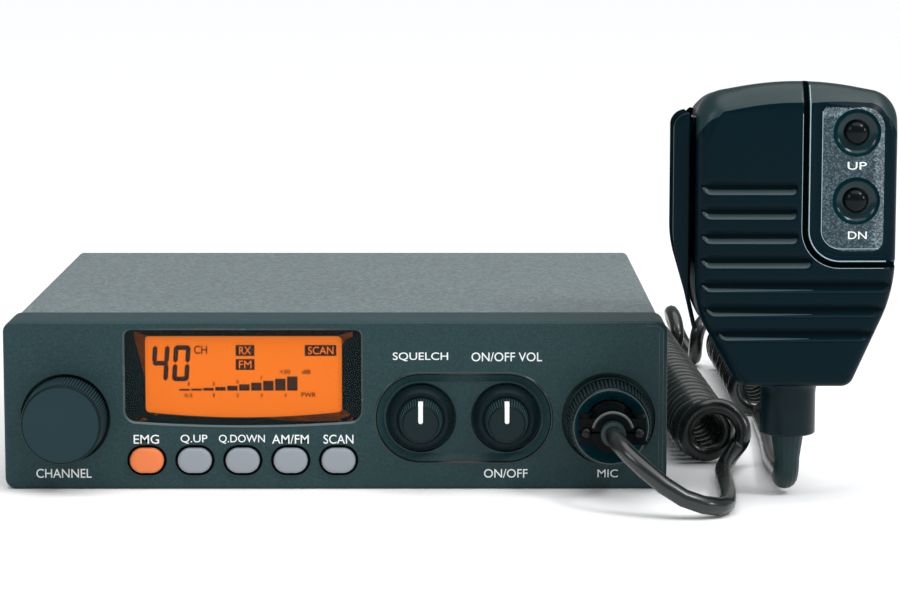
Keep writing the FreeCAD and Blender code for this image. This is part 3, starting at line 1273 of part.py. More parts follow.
def gland_cuts():
    """The way for the strain relief and its flange through the boss."""
    return [
        bar_z(RELIEF_TOP_RADIUS + THREAD_GAP, HAND_X, HAND_SEAM_Y, GLAND_FOOT - 1, RELIEF_TOP_Z),
        bar_z(RELIEF_FLANGE_RADIUS + THREAD_GAP, HAND_X, HAND_SEAM_Y, RELIEF_FLANGE_Z, RELIEF_FLANGE_TOP),
    ]


def strain_relief():
    """The rubber sleeve that leads the cord out and bends back along the floor."""
    sleeve = turned_z([
        (0, RELIEF_BEND_Z),
        (RELIEF_TIP_RADIUS, RELIEF_BEND_Z),
        (RELIEF_TOP_RADIUS, GLAND_FOOT),
        (RELIEF_TOP_RADIUS, RELIEF_FLANGE_Z),
        (RELIEF_FLANGE_RADIUS, RELIEF_FLANGE_Z),
        (RELIEF_FLANGE_RADIUS, RELIEF_FLANGE_TOP),
        (RELIEF_TOP_RADIUS, RELIEF_FLANGE_TOP),
        (RELIEF_TOP_RADIUS, RELIEF_TOP_Z),
        (0, RELIEF_TOP_Z),
    ], HAND_X, HAND_SEAM_Y)
    centre = Vector(HAND_X, HAND_SEAM_Y, RELIEF_BEND_Z)
    reach = RELIEF_TIP_RADIUS / math.cos(math.pi / BAR_SIDES)
    turns = [2 * math.pi * i / BAR_SIDES for i in range(BAR_SIDES)] + [0.0]
    ring = Part.makePolygon([centre + Vector(reach * math.cos(a), reach * math.sin(a), 0) for a in turns])
    hub = centre + Vector(0, RELIEF_BEND_RADIUS, 0)
    return joined([sleeve, Part.Face(ring).revolve(hub, Vector(1, 0, 0), 90)])


TALK_FRONT_Y = HAND_FRONT_Y + TALK_FRONT
TALK_BACK_Y = TALK_FRONT_Y + TALK_DEPTH
LUG_FRONT_Y = TALK_FRONT_Y + 2.0
LUG_BACK_Y = TALK_BACK_Y - 2.0 - TALK_LUG
TALK_PIN_X = HAND_X + TALK_PIVOT_X
TALK_PLUNGER_Y = (TALK_FRONT_Y + TALK_BACK_Y) / 2 + 2.5
TALK_PLUNGER_TIP = HAND_X - HAND_HALF_WIDTH + HAND_WALL + TALK_PLUNGER_REACH
TALK_SWITCH_X = TALK_PLUNGER_TIP + TALK_PRESS
TALK_SWITCH_BACK_Y = TALK_PLUNGER_Y + 4.0
HAND_INNER_FRONT_Y = HAND_FRONT_Y + HAND_FACE
HAND_INNER_REAR_Y = HAND_REAR_Y - HAND_WALL
HAND_BOARD_Y = HAND_SEAM_Y - 3.0


def talk_lug(y0, y1):
    """A lug on the left side that carries the talk lever's pin."""
    eye = bar_y(TALK_LUG_RADIUS, TALK_PIN_X, TALK_PIVOT_Z, y0, y1)
    arm = box(TALK_PIN_X, HAND_X - HAND_HALF_WIDTH + HAND_WALL, y0, y1,
              TALK_PIVOT_Z - TALK_LUG_RADIUS, TALK_PIVOT_Z + TALK_LUG_RADIUS)
    return joined([eye, arm])


def talk_pin_hole():
    """The hole through both lugs, kept clear of the case itself."""
    end = LUG_BACK_Y + TALK_LUG
    return bar_y(TALK_PIN_RADIUS + THREAD_GAP, TALK_PIN_X, TALK_PIVOT_Z, LUG_FRONT_Y, end)


def louvres():
    """The stepped grooves across the microphone's front."""
    cuts = []
    left = HAND_X - HAND_HALF_WIDTH - 1
    for i in range(LOUVRE_SHORT_COUNT + LOUVRE_LONG_COUNT):
        z = LOUVRE_FIRST_Z - LOUVRE_PITCH * i
        right = HAND_X
        if i >= LOUVRE_SHORT_COUNT:
            right = HAND_X + HAND_HALF_WIDTH + 1
        y = HAND_FRONT_Y
        wedge = Part.makePolygon([
            Vector(left, y - 0.2, z + LOUVRE_RISE),
            Vector(left, y + LOUVRE_DEPTH, z),
            Vector(left, y - 0.2, z - LOUVRE_FALL),
            Vector(left, y - 0.2, z + LOUVRE_RISE),
        ])
        cuts.append(Part.Face(wedge).extrude(Vector(right - left, 0, 0)))
    return cuts


def groove():
    """The groove that sets off the finger keys, from the top round to the right side."""
    rings = []
    right = HAND_X + HAND_HALF_WIDTH + 5
    top = HAND_TOP + 5
    for step in (0.0, GROOVE_WIDTH):
        left = HAND_X + GROOVE_LEFT + step
        foot = GROOVE_FOOT + step
        corners = [(left, foot, GROOVE_CORNER - step), (right, foot, 0), (right, top, 0), (left, top, 0)]
        rings.append(plate(corners, HAND_FRONT_Y - 1, HAND_FRONT_Y + GROOVE_DEPTH))
    return rings[0].cut(rings[1])


def key_panel_plate(gap, y0):
    """The key panel's outline, drawn in by gap, from y0 back to its seat."""
    left = HAND_X + KEY_PANEL_LEFT + gap
    right = HAND_X + KEY_PANEL_RIGHT - gap
    corners = [
        (left, KEY_PANEL_FOOT + gap, KEY_PANEL_CORNER - gap),
        (right, KEY_PANEL_FOOT + gap, 3.0),
        (right, KEY_PANEL_TOP - KEY_PANEL_FALL - gap, 4.5),
        (left, KEY_PANEL_TOP - gap, 1.5),
    ]
    return plate(corners, y0, HAND_FRONT_Y + KEY_PANEL_THICKNESS)


def hand_front_shell():
    """The front half of the microphone's case."""
    body = hand_slab(0, HAND_FRONT_Y, HAND_SEAM_Y)
    rim = edges_at_y(HAND_FRONT_Y)
    body = body.makeChamfer(HAND_FRONT_EDGE, [e for e in body.Edges if rim(e)])
    body = body.cut(hand_slab(HAND_WALL, HAND_INNER_FRONT_Y, HAND_SEAM_Y))
    radius = HAND_BOSS_RADIUS
    bosses = [bar_y(radius, HAND_X + x, z, HAND_INNER_FRONT_Y, HAND_SEAM_Y) for x, z in HAND_SCREWS]
    body = joined([body, gland_half(True), talk_lug(LUG_FRONT_Y, LUG_FRONT_Y + TALK_LUG)] + bosses)
    cuts = gland_cuts() + louvres() + [groove(), key_panel_plate(0, HAND_FRONT_Y - 1), talk_pin_hole()]
    for z in (UP_Z, DOWN_Z):
        cuts.append(bar_y(THUMB_RADIUS + KEY_GAP, HAND_X + THUMB_X, z, HAND_FRONT_Y - 1, HAND_SEAM_Y))
    for x in SOUND_HOLE_X:
        for i in range(1, LOUVRE_SHORT_COUNT):
            z = LOUVRE_FIRST_Z - LOUVRE_PITCH * i
            cuts.append(bar_y(SOUND_HOLE_RADIUS, HAND_X + x, z, HAND_FRONT_Y, HAND_INNER_FRONT_Y))
    for x, z in HAND_SCREWS:
        cuts.append(bar_y(SCREW_RADIUS + THREAD_GAP, HAND_X + x, z, HAND_SEAM_Y - SCREW_BITE, HAND_SEAM_Y))
    for cut in cuts:
        body = body.cut(cut)
    return body.removeSplitter()


def hand_rear_shell():
    """The rear half of the microphone's case."""
    body = softened(hand_slab(0, HAND_SEAM_Y, HAND_REAR_Y), HAND_REAR_EDGE, edges_at_y(HAND_REAR_Y))
    body = body.cut(hand_slab(HAND_WALL, HAND_SEAM_Y, HAND_INNER_REAR_Y))
    extras = [gland_half(False), talk_lug(LUG_BACK_Y, LUG_BACK_Y + TALK_LUG), talk_switch_rest()]
    for x, z in HAND_SCREWS:
        extras.append(bar_y(HAND_BOSS_RADIUS, HAND_X + x, z, HAND_SEAM_Y, HAND_INNER_REAR_Y))
    rest = HAND_BOARD_Y + BOARD_THICKNESS
    for x, z in HAND_PILLARS:
        extras.append(bar_y(HAND_BOSS_RADIUS - 1.0, HAND_X + x, z, rest, HAND_INNER_REAR_Y))
    body = joined([body] + extras)
    side = HAND_X - HAND_HALF_WIDTH - 1
    sink = SCREW_HEAD_RADIUS + KEY_GAP
    cuts = gland_cuts() + [
        talk_pin_hole(),
        bar_x(TALK_PLUNGER_RADIUS + 0.5, side, side + HAND_WALL + 2, TALK_PLUNGER_Y, TALK_PLUNGER_Z),
        bar_y(STUD_SCREW_RADIUS + THREAD_GAP, HAND_X, STUD_Z, HAND_INNER_REAR_Y, HAND_REAR_Y),
    ]
    for x, z in HAND_SCREWS:
        cuts.append(bar_y(SCREW_RADIUS + KEY_GAP, HAND_X + x, z, HAND_SEAM_Y, HAND_REAR_Y))
        cuts.append(bar_y(sink, HAND_X + x, z, HAND_REAR_Y - SCREW_HEAD, HAND_REAR_Y))
    for cut in cuts:
        body = body.cut(cut)
    return body.removeSplitter()


def talk_switch_rest():
    """The rib on the rear shell that the talk switch sits on."""
    x = TALK_SWITCH_X
    return box(x + 1, x + 5, TALK_SWITCH_BACK_Y, HAND_INNER_REAR_Y, TALK_PLUNGER_Z - 4, TALK_PLUNGER_Z + 4)


def talk_switch():
    """The switch inside the case that the lever's plunger presses."""
    x = TALK_SWITCH_X
    y = TALK_PLUNGER_Y
    return joined([
        box(x, x + 6.0, y - 4.0, TALK_SWITCH_BACK_Y, TALK_PLUNGER_Z - 6.0, TALK_PLUNGER_Z + 6.0),
        box(x + 6.0, x + 9.0, y - 3.0, y + 3.0, TALK_PLUNGER_Z - 3.0, TALK_PLUNGER_Z + 3.0),
    ])


def talk_lever():
    """The bar down the left side that is squeezed to talk."""
    inner = HAND_X + TALK_RIGHT
    outer = HAND_X + TALK_LEFT
    corners = [
        (outer, TALK_TOP, TALK_SHOULDER_RADIUS),
        (inner, TALK_TOP, 0.4),
        (inner, TALK_WAIST_Z - 10.0, 20.0),
        (inner + 4.2, TALK_FOOT_Z, 0.4),
        (inner + 2.8, TALK_FOOT_Z, 0.6),
        (outer, TALK_WAIST_Z, 30.0),
    ]
    bar = plate(corners, TALK_FRONT_Y, TALK_BACK_Y)
    gap = 2 * SEAT_GAP
    size = TALK_LUG_RADIUS + gap
    slots = [bar_y(TALK_PIN_RADIUS + RUNNING_GAP, TALK_PIN_X, TALK_PIVOT_Z, TALK_FRONT_Y, TALK_BACK_Y, ROUND)]
    for y in (LUG_FRONT_Y, LUG_BACK_Y):
        slots.append(box(TALK_PIN_X - size, inner + 5, y - gap, y + TALK_LUG + gap,
                         TALK_PIVOT_Z - size - gap, TALK_PIVOT_Z + size + gap))
    plunger = bar_x(TALK_PLUNGER_RADIUS, inner - 0.5, TALK_PLUNGER_TIP, TALK_PLUNGER_Y, TALK_PLUNGER_Z)
    return joined([bar.cut(group(slots)), plunger])


def talk_pin():
    """The steel pin that the talk lever swings on."""
    end = LUG_BACK_Y + TALK_LUG + 1.0
    return bar_y(TALK_PIN_RADIUS, TALK_PIN_X, TALK_PIVOT_Z, LUG_FRONT_Y - 1.0, end, ROUND)


def key_panel():
    """The grained panel with the two dished finger wells."""
    sheet = key_panel_plate(GLUE_GAP, HAND_FRONT_Y)
    front = HAND_FRONT_Y
    for z in (UP_Z, DOWN_Z):
        dish = turned_y([
            (0, front - 0.01),
            (THUMB_DISH_RADIUS, front - 0.01),
            (THUMB_RADIUS + 0.8, front + THUMB_DISH_DEPTH),
            (0, front + THUMB_DISH_DEPTH),
        ], HAND_X + THUMB_X, z)
        hole = bar_y(THUMB_RADIUS + KEY_GAP, HAND_X + THUMB_X, z, front, front + KEY_PANEL_THICKNESS)
        sheet = sheet.cut(dish).cut(hole)
    return sheet


def thumb_button(z):
    """A domed button at the bottom of a finger well, with its stem and flange."""
    x = HAND_X + THUMB_X
    inside = HAND_INNER_FRONT_Y + SEAT_GAP
    dome = turned_y([
        (0, inside),
        (THUMB_RADIUS, inside),
        (THUMB_RADIUS, HAND_FRONT_Y + 0.9),
        (THUMB_RADIUS * 0.92, HAND_FRONT_Y + 0.3),
        (THUMB_RADIUS * 0.7, HAND_FRONT_Y - 0.2),
        (THUMB_RADIUS * 0.35, HAND_FRONT_Y - 0.5),
        (0, HAND_FRONT_Y - 0.6),
    ], x, z)
    flange = bar_y(THUMB_RADIUS + 0.8, x, z, inside, inside + THUMB_FLANGE)
    stem_end = HAND_BOARD_Y - THUMB_SWITCH - THUMB_TRAVEL - 3 * SEAT_GAP
    return joined([dome, flange, bar_y(1.5, x, z, inside, stem_end)])


def hand_board():
    """The small circuit board inside the microphone, with its two switches."""
    x = HAND_X + THUMB_X
    parts = [box(HAND_X - 2, HAND_X + 20, HAND_BOARD_Y, HAND_BOARD_Y + BOARD_THICKNESS,
                 DOWN_Z - 7.2, UP_Z + 3.4)]
    for z in (UP_Z, DOWN_Z):
        parts.append(box(x - 3, x + 3, HAND_BOARD_Y - THUMB_SWITCH, HAND_BOARD_Y, z - 3, z + 3))
    return joined(parts)


def mic_capsule():
    """The microphone capsule behind the sound holes."""
    y = HAND_INNER_FRONT_Y + SEAT_GAP
    z = LOUVRE_FIRST_Z - 2 * LOUVRE_PITCH
    return bar_y(8.0, HAND_X + SOUND_HOLE_X[1], z, y, y + 7.0)


def hang_stud():
    """The button on the back that hangs the microphone from its holder."""
    y = HAND_REAR_Y
    return turned_y([
        (0, HAND_INNER_REAR_Y),
        (STUD_SCREW_RADIUS, HAND_INNER_REAR_Y),
        (STUD_SCREW_RADIUS, y),
        (STUD_NECK_RADIUS, y),
        (STUD_NECK_RADIUS, y + STUD_NECK),
        (STUD_HEAD_RADIUS, y + STUD_NECK),
        (STUD_HEAD_RADIUS, y + STUD_NECK + STUD_HEAD - 0.8),
        (STUD_HEAD_RADIUS - 0.8, y + STUD_NECK + STUD_HEAD),
        (0, y + STUD_NECK + STUD_HEAD),
    ], HAND_X, STUD_Z, ROUND)


def hand_screws():
    """Three screws that hold the two halves of the case together."""
    seat = HAND_REAR_Y - SCREW_HEAD
    length = seat - HAND_SEAM_Y + SCREW_BITE - 0.5
    return [screw(Vector(HAND_X + x, seat, z), Vector(0, -1, 0), length) for x, z in HAND_SCREWS]


def rounded_route(points):
    """A tube's centre line: straight runs joined by tangent arcs."""
    spots = [Vector(*p) for p in points]
    last = len(spots) - 1
    edges = []
    radii = []
    start = spots[0]
    for i in range(1, last):
        here = spots[i]
        back = spots[i - 1] - here
        ahead = spots[i + 1] - here
        half = back.getAngle(ahead) / 2
        reach = 0.45 * min(back.Length, ahead.Length)
        radius = reach * math.tan(half)
        radii.append(radius)
        back.normalize()
        ahead.normalize()
        entry = here + back * reach
        leave = here + ahead * reach
        middle = here + (back + ahead).normalize() * (radius / math.sin(half) - radius)
        edges.append(Part.makeLine(start, entry))
        edges.append(Part.Arc(entry, middle, leave).toShape())
        start = leave
    edges.append(Part.makeLine(start, spots[last]))
    return Part.Wire(edges), radii


def tube(wire, radius, sides):
    """A solid tube along a wire, with a flat-sided section."""
    first = wire.Edges[0]
    start = first.valueAt(first.FirstParameter)
    along = first.tangentAt(first.FirstParameter)
    across = along.cross(Vector(0, 0, 1)).normalize()
    over = across.cross(along).normalize()
    ring = []
    for i in range(sides + 1):
        angle = 2 * math.pi * i / sides
        ring.append(start + across * (radius * math.cos(angle)) + over * (radius * math.sin(angle)))
    return wire.makePipeShell([Part.makePolygon(ring)], True, False)


def section_area(radius, sides):
    """The area of a flat-sided section."""
    return sides / 2 * radius ** 2 * math.sin(2 * math.pi / sides)


# The cord's free ends: from the plug's sleeve to the curls, and from the
# curls to the strain relief. Points chosen by hand.
PLUG_LEAD_ROUTE = (
    (MIC_X, BOOT_END_Y, MIC_Z),
    (MIC_X, -116.0, MIC_Z),
    (SIDE_X - 8.5, -121.5, 12.5),
    (SIDE_X + 1.5, -124.0, 5.0),
    (SIDE_X + 11.8, -122.0, CORD_Z),
    (SIDE_X + 14.2, -111.0, CORD_Z),
    (SIDE_X + 15.2, -95.0, CORD_Z),
    (SIDE_X + 15.8, -79.0, CORD_Z),
    (SIDE_X + 16.9, -64.0, CORD_Z),
)
HAND_LEAD_ROUTE = (
    (SIDE_X + 34.9, 8.0, CORD_Z),
    (SIDE_X + 34.0, -20.0, CORD_Z),
    (SIDE_X + 32.0, -45.0, CORD_Z),
    (SIDE_X + 31.3, -64.0, RELIEF_END_Z - 1.4),
    (HAND_X, -76.0, RELIEF_END_Z),
    (HAND_X, HAND_SEAM_Y + RELIEF_BEND_RADIUS, RELIEF_END_Z),
)


def curl_axis(s):
    """Place and heading of the curls' axis at a distance s from its near end."""
    heading = math.radians(CURL_HEADING)
    x = CURL_NEAR[0] + min(s, CURL_RUN) * math.sin(heading)
    y = CURL_NEAR[1] + min(s, CURL_RUN) * math.cos(heading)
    turned = min(max(0.0, s - CURL_RUN) / CURL_BEND_RADIUS, math.radians(CURL_BEND))
    x += CURL_BEND_RADIUS * (math.cos(heading) - math.cos(heading + turned))
    y += CURL_BEND_RADIUS * (math.sin(heading + turned) - math.sin(heading))
    rest = max(0.0, s - CURL_RUN - CURL_BEND_RADIUS * math.radians(CURL_BEND))
    heading += turned
    return x + rest * math.sin(heading), y + rest * math.cos(heading), heading


def curl_distance(turn):
    """How far along the axis the wire has come after a number of turns."""
    near = min(turn, CURL_TURNS) / CURL_TURNS * CURL_RUN
    round_part = min(max(0.0, turn - CURL_TURNS) / CURL_BEND_TURNS, 1.0)
    bend = round_part * CURL_BEND_RADIUS * math.radians(CURL_BEND)
    back = max(0.0, turn - CURL_TURNS - CURL_BEND_TURNS) / CURL_BACK_TURNS * CURL_BACK_RUN
    return near + bend + back


def curl_point(turn):
    """The wire's centre after a number of turns; it swells at the ends and in the bend."""
    x, y, heading = curl_axis(curl_distance(turn))
    loose = max(0.0, 1.0 - turn / CURL_FLARE_TURNS) ** 2
    bent = (turn - CURL_TURNS) / CURL_BEND_TURNS
    swell = math.sin(math.pi * bent) ** 2 if 0 < bent < 1 else 0.0
    radius = CURL_RADIUS + CURL_FLARE * loose + CURL_BEND_SWELL * swell
    angle = math.radians(CURL_START_ANGLE) + 2 * math.pi * turn
    across = radius * math.cos(angle) + CURL_FLARE_SHIFT * loose
    axis_z = radius + CURL_WIRE_RADIUS + FLOOR_GAP + CURL_FLARE_LIFT * loose
    z = axis_z + radius * math.sin(angle)
    return Vector(x + across * math.cos(heading), y - across * math.sin(heading), z)


def curl_heading(turn):
    """The wire's direction after a number of turns."""
    return (curl_point(turn + 0.01) - curl_point(turn - 0.01)).normalize()


def arc(start, heading, end):
    """An arc from start, leaving along heading, to end."""
    chord = end - start
    along = Vector(chord).normalize()
    side = heading - along * heading.dot(along)
    if side.Length < 1e-9:
        return Part.makeLine(start, end)
    rise = chord.Length / 2 * math.tan(heading.getAngle(along) / 2)
    return Part.Arc(start, (start + end) * 0.5 + side.normalize() * rise, end).toShape()


def biarc(start, heading, end, end_heading):
    """Two tangent arcs from start to end, with the headings given."""
    chord = end - start
    both = heading + end_heading
    a = 2 * (1 - heading.dot(end_heading))
    b = 2 * chord.dot(both)
    c = -chord.dot(chord)
    reach = -c / b if abs(a) < 1e-9 else (math.sqrt(b * b - 4 * a * c) - b) / (2 * a)
    first = start + heading * reach
    second = end - end_heading * reach
    middle = (first + second) * 0.5
    return [arc(start, heading, middle), arc(middle, (second - first).normalize(), end)]


def curl_wire():
    """The curls' centre line: both coils and the open bend between them."""
    turns = CURL_TURNS + CURL_BEND_TURNS + CURL_BACK_TURNS
    count = math.ceil(2 * turns)
    stations = [(curl_point(turns * i / count), curl_heading(turns * i / count)) for i in range(count + 1)]
    lead = Vector(*PLUG_LEAD_ROUTE[-1])
    lead_heading = (lead - Vector(*PLUG_LEAD_ROUTE[-2])).normalize()
    tail = Vector(*HAND_LEAD_ROUTE[0])
    tail_heading = (Vector(*HAND_LEAD_ROUTE[1]) - tail).normalize()
    stations.insert(0, (lead + lead_heading * CURL_STRAIGHT, lead_heading))
    stations.append((tail - tail_heading * CURL_STRAIGHT, tail_heading))
    edges = [Part.makeLine(lead, stations[0][0])]
    for (p0, t0), (p1, t1) in zip(stations, stations[1:]):
        edges += biarc(p0, t0, p1, t1)
    edges.append(Part.makeLine(stations[-1][0], tail))
    return Part.Wire(edges)


def least_gap(wire):
    """The smallest clear space between neighbouring turns, measured on points."""
    step = 1.5
    points = wire.discretize(Distance=step)
    skip = int(math.pi * CURL_RADIUS / step)
    least = 1e9
    for i, point in enumerate(points):
        for other in points[i + skip:]:
            least = min(least, point.distanceToPoint(other))
    return least - 2 * CURL_WIRE_RADIUS


def arc_radii(wire):
    """The smallest and largest radius of a wire's arcs."""
    radii = [e.Curve.Radius for e in wire.Edges if hasattr(e.Curve, "Radius")]
    return min(radii), max(radii)


def cord_parts():
    """The two free leads and the curls between them, with their measures printed."""
    shapes = {}
    for name, route in (("cord_plug_lead", PLUG_LEAD_ROUTE), ("cord_hand_lead", HAND_LEAD_ROUTE)):
        wire, radii = rounded_route(route)
        shapes[name] = tube(wire, CORD_RADIUS, CORD_SIDES)
        print(name, "length", round(wire.Length, 1), "radii", [round(r, 1) for r in radii])
        swept = section_area(CORD_RADIUS, CORD_SIDES) * wire.Length
        print(name, "volume over section times length", round(shapes[name].Volume / swept, 4))
    wire = curl_wire()
    curls = tube(wire, CURL_WIRE_RADIUS, CURL_WIRE_SIDES)
    shapes["cord_curls"] = curls
    swept = section_area(CURL_WIRE_RADIUS, CURL_WIRE_SIDES) * wire.Length
    print("cord_curls length", round(wire.Length, 1), "radii", [round(r, 2) for r in arc_radii(wire)])
    print("cord_curls volume over section times length", round(curls.Volume / swept, 4))
    print("cord_curls least gap to itself", round(least_gap(wire), 2))
    return shapes


def radio_parts():
    """Every piece of the set itself."""
    shapes = {"front_panel": front_panel()}
    shapes["control_board"] = control_board()
    shapes["tact_switches"] = tact_switches()
    shapes.update(display_parts())
    for name, x in zip(KEY_NAMES, KEY_X):
        shapes[name] = push_key(x)
    shapes["channel_knob"] = channel_knob()
    shapes["channel_shaft"] = shaft(CHANNEL_X, CHANNEL_BASE_Y, SHAFT_END_Y)
    shapes["channel_encoder"] = encoder()
    for name, x in (("squelch", SQUELCH_X), ("volume", VOLUME_X)):
        shapes[name + "_knob"] = pair_knob(x)
        shapes[name + "_pointer"] = pointer(x, POINTER_PROUD)
        shapes[name + "_shaft"] = shaft(x, SKIRT_Y, SHAFT_END_Y)
        shapes[name + "_control"] = potentiometer(x)
    shapes["mic_socket"] = group([mic_socket(), mic_socket_nut()])
    shapes["mic_contacts"] = mic_contacts()
    shapes["plug_ring"] = plug_ring()
    shapes["plug_body"] = plug_body()
    shapes["plug_clamp"] = plug_clamp()
    shapes["cord_boot"] = cord_boot()
    shapes["top_cover"] = top_cover()
    shapes["bottom_cover"] = bottom_cover()
    shapes["chassis_frame"] = chassis_frame()
    shapes["case_screws"] = group(cover_screws() + panel_screws() + main_board_screws() + rear_screws())
    shapes["main_board"] = main_board()
    shapes["board_parts"] = group(tuned_coils() + power_capacitors() + circuit_chips())
    shapes["power_transistors"] = power_transistors()
    shapes["speaker_frame"] = group([speaker_frame(), speaker_magnet()])
    shapes["speaker_cone"] = speaker_cone()
    shapes["rear_panel"] = rear_panel()
    shapes["aerial_socket"] = aerial_socket()
    shapes["aerial_insulator"] = aerial_insulator()
    shapes["aerial_contact"] = aerial_contact()
    shapes["speaker_jack"] = group([speaker_jack(), speaker_jack_nut()])
    shapes["power_inlet"] = power_inlet()
    shapes["inlet_pins"] = inlet_pins()
    return shapes


def hand_parts():
    """Every piece of the hand microphone."""
    return {
        "hand_front_shell": hand_front_shell(),
        "hand_rear_shell": hand_rear_shell(),
        "hand_key_panel": key_panel(),
        "up_button": thumb_button(UP_Z),
        "down_button": thumb_button(DOWN_Z),
        "talk_lever": talk_lever(),
        "talk_pin": talk_pin(),
        "talk_switch": talk_switch(),
        "hand_board": hand_board(),
        "mic_capsule": mic_capsule(),
        "strain_relief": strain_relief(),
        "hand_fixings": group([hang_stud()] + hand_screws()),
    }


def main():
    """Write one file for each piece."""
    os.makedirs("parts", exist_ok=True)
    shapes = {**radio_parts(), **hand_parts(), **cord_parts()}
    for name, shape in shapes.items():
        if not shape.isValid():
            print("not valid:", name)
        shape.exportStep("parts/" + name + ".step")
    print(len(shapes), "pieces written")


main()
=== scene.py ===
import logging
import math
from collections.abc import Callable, Iterable, Sequence
from dataclasses import dataclass
from enum import Enum
from functools import cache

import bmesh
import bpy
import numpy as np
from mathutils import Matrix, Vector, kdtree
from mathutils.geometry import delaunay_2d_cdt


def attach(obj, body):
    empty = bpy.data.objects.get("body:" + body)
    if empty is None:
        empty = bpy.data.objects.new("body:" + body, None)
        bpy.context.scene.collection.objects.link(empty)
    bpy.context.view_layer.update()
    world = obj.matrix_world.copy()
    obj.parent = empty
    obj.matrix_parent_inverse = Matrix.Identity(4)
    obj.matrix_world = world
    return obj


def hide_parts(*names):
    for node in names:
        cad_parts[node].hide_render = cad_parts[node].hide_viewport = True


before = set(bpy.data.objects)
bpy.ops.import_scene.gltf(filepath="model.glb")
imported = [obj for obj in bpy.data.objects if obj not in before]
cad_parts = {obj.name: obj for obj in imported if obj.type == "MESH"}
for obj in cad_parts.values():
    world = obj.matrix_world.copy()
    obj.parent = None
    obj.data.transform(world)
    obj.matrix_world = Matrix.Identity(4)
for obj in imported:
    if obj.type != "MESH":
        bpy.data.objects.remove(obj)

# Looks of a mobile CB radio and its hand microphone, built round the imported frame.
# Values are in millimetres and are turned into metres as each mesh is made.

LOG = logging.getLogger("scene")
MM = 0.001
FULL_TURN = 2 * math.pi
HALF_TURN = math.pi
QUARTER_TURN = math.pi / 2
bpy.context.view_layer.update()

Point2 = tuple[float, float]
Point3 = tuple[float, float, float]
Colour = tuple[int, int, int]

# Places shared by several classes, as in the part's own source.
FRONT_Y = -82.0
REAR_Y = 82.0
DIAL_Z = 19.5
CHANNEL_X = -73.3
SQUELCH_X = 23.15
VOLUME_X = 46.35
MIC_X = 74.1
MIC_Z = 19.3
HAND_X = 121.4
HAND_FRONT_Y = -107.0
HAND_SEAM_Y = -93.0
THUMB_X = 15.6
THUMB_Z = (99.0, 81.2)
KEY_Z = 8.0
SET_BODY = "set"


class Grain(Enum):
    """How a surface feels: the grain's scale in cycles per metre, and its depth in metres."""

    SMOOTH = (900.0, 0.000004)
    MOULDED = (2600.0, 0.00002)
    STIPPLED = (2300.0, 0.00016)
    PAINTED = (2400.0, 0.00003)
    BRUSHED = (5200.0, 0.000008)
    RUBBER = (1300.0, 0.00001)
    PAPER = (1500.0, 0.00005)


def linear(colour: Colour) -> tuple[float, float, float, float]:
    """Turn a display colour of 0 to 255 into linear light.

    Args:
        colour: red, green and blue as they look on a screen.

    Returns:
        Red, green, blue and a full alpha, in linear light.
    """
    parts = [c / 255 for c in colour]
    made = [c / 12.92 if c <= 0.04045 else ((c + 0.055) / 1.055) ** 2.4 for c in parts]
    return made[0], made[1], made[2], 1.0


class Graph:
    """Short calls for filling a node tree."""

    def __init__(self, tree: bpy.types.NodeTree) -> None:
        """Keep the tree. Only a group also has its input sockets, by name, and its output node.

        Args:
            tree: the tree to fill.
        """
        self.tree = tree
        self.given: bpy.types.NodeOutputs | None = None
        self.result: bpy.types.Node | None = None

    def add(self, kind: str, inputs: dict | None = None, **values: object) -> bpy.types.Node:
        """Add a node, set its properties, and link or set its inputs.

        Args:
            kind: the node's type.
            inputs: socket name or number to a value or to another node's output.
            values: the node's own properties.

        Returns:
            The new node.
        """
        node = self.tree.nodes.new(kind)
        for name, value in values.items():
            setattr(node, name, value)
        self.fill(node, inputs or {})
        return node

    def fill(self, node: bpy.types.Node, inputs: dict) -> None:
        """Link or set a node's inputs.

        Args:
            node: the node.
            inputs: socket name or number to a value or to another node's output.
        """
        for key, value in inputs.items():
            if isinstance(value, bpy.types.NodeSocket):
                self.tree.links.new(value, node.inputs[key])
            else:
                node.inputs[key].default_value = value

    def calc(self, operation: str, a: object, b: object = 0.0) -> bpy.types.NodeSocket:
        """One step of arithmetic on two values or sockets."""
        return self.add("ShaderNodeMath", {0: a, 1: b}, operation=operation).outputs[0]

    def mix(self, share: object, low: object, high: object) -> bpy.types.NodeSocket:
        """A mix of two colours."""
        return self.add("ShaderNodeMix", {0: share, 6: low, 7: high}, data_type="RGBA").outputs[2]

    @classmethod
    def group(cls, name: str, kind: str, ins: dict[str, str], outs: dict[str, str]) -> "Graph":
        """Start a node group with named inputs and outputs.

        Args:
            name: the group's name.
            kind: the tree's type.
            ins: input name to socket type.
            outs: output name to socket type.

        Returns:
            The group's graph. Its given holds the input sockets by name.
        """
        graph = cls(bpy.data.node_groups.new(name, kind))
        for way, names in (("INPUT", ins), ("OUTPUT", outs)):
            for label, socket in names.items():
                graph.tree.interface.new_socket(label, in_out=way, socket_type=socket)
        graph.given = graph.tree.nodes.new("NodeGroupInput").outputs
        graph.result = graph.tree.nodes.new("NodeGroupOutput")
        return graph

    def ends(self, *sockets: bpy.types.NodeSocket) -> bpy.types.NodeTree:
        """Link the group's outputs, in order.

        Args:
            sockets: what goes out.

        Returns:
            The finished tree.
        """
        for i, socket in enumerate(sockets):
            self.tree.links.new(socket, self.result.inputs[i])
        return self.tree

    def ends_dressed(self, copies: bpy.types.Node) -> bpy.types.NodeTree:
        """Make a Geometry Nodes tree's copies real, dress them and send them out.

        Args:
            copies: the node that gives the copies.

        Returns:
            The finished tree.
        """
        real = self.add("GeometryNodeRealizeInstances", {"Geometry": copies.outputs[0]})
        values = {"Geometry": real.outputs[0], "Material": self.given["Material"]}
        return self.ends(self.add("GeometryNodeSetMaterial", values).outputs[0])


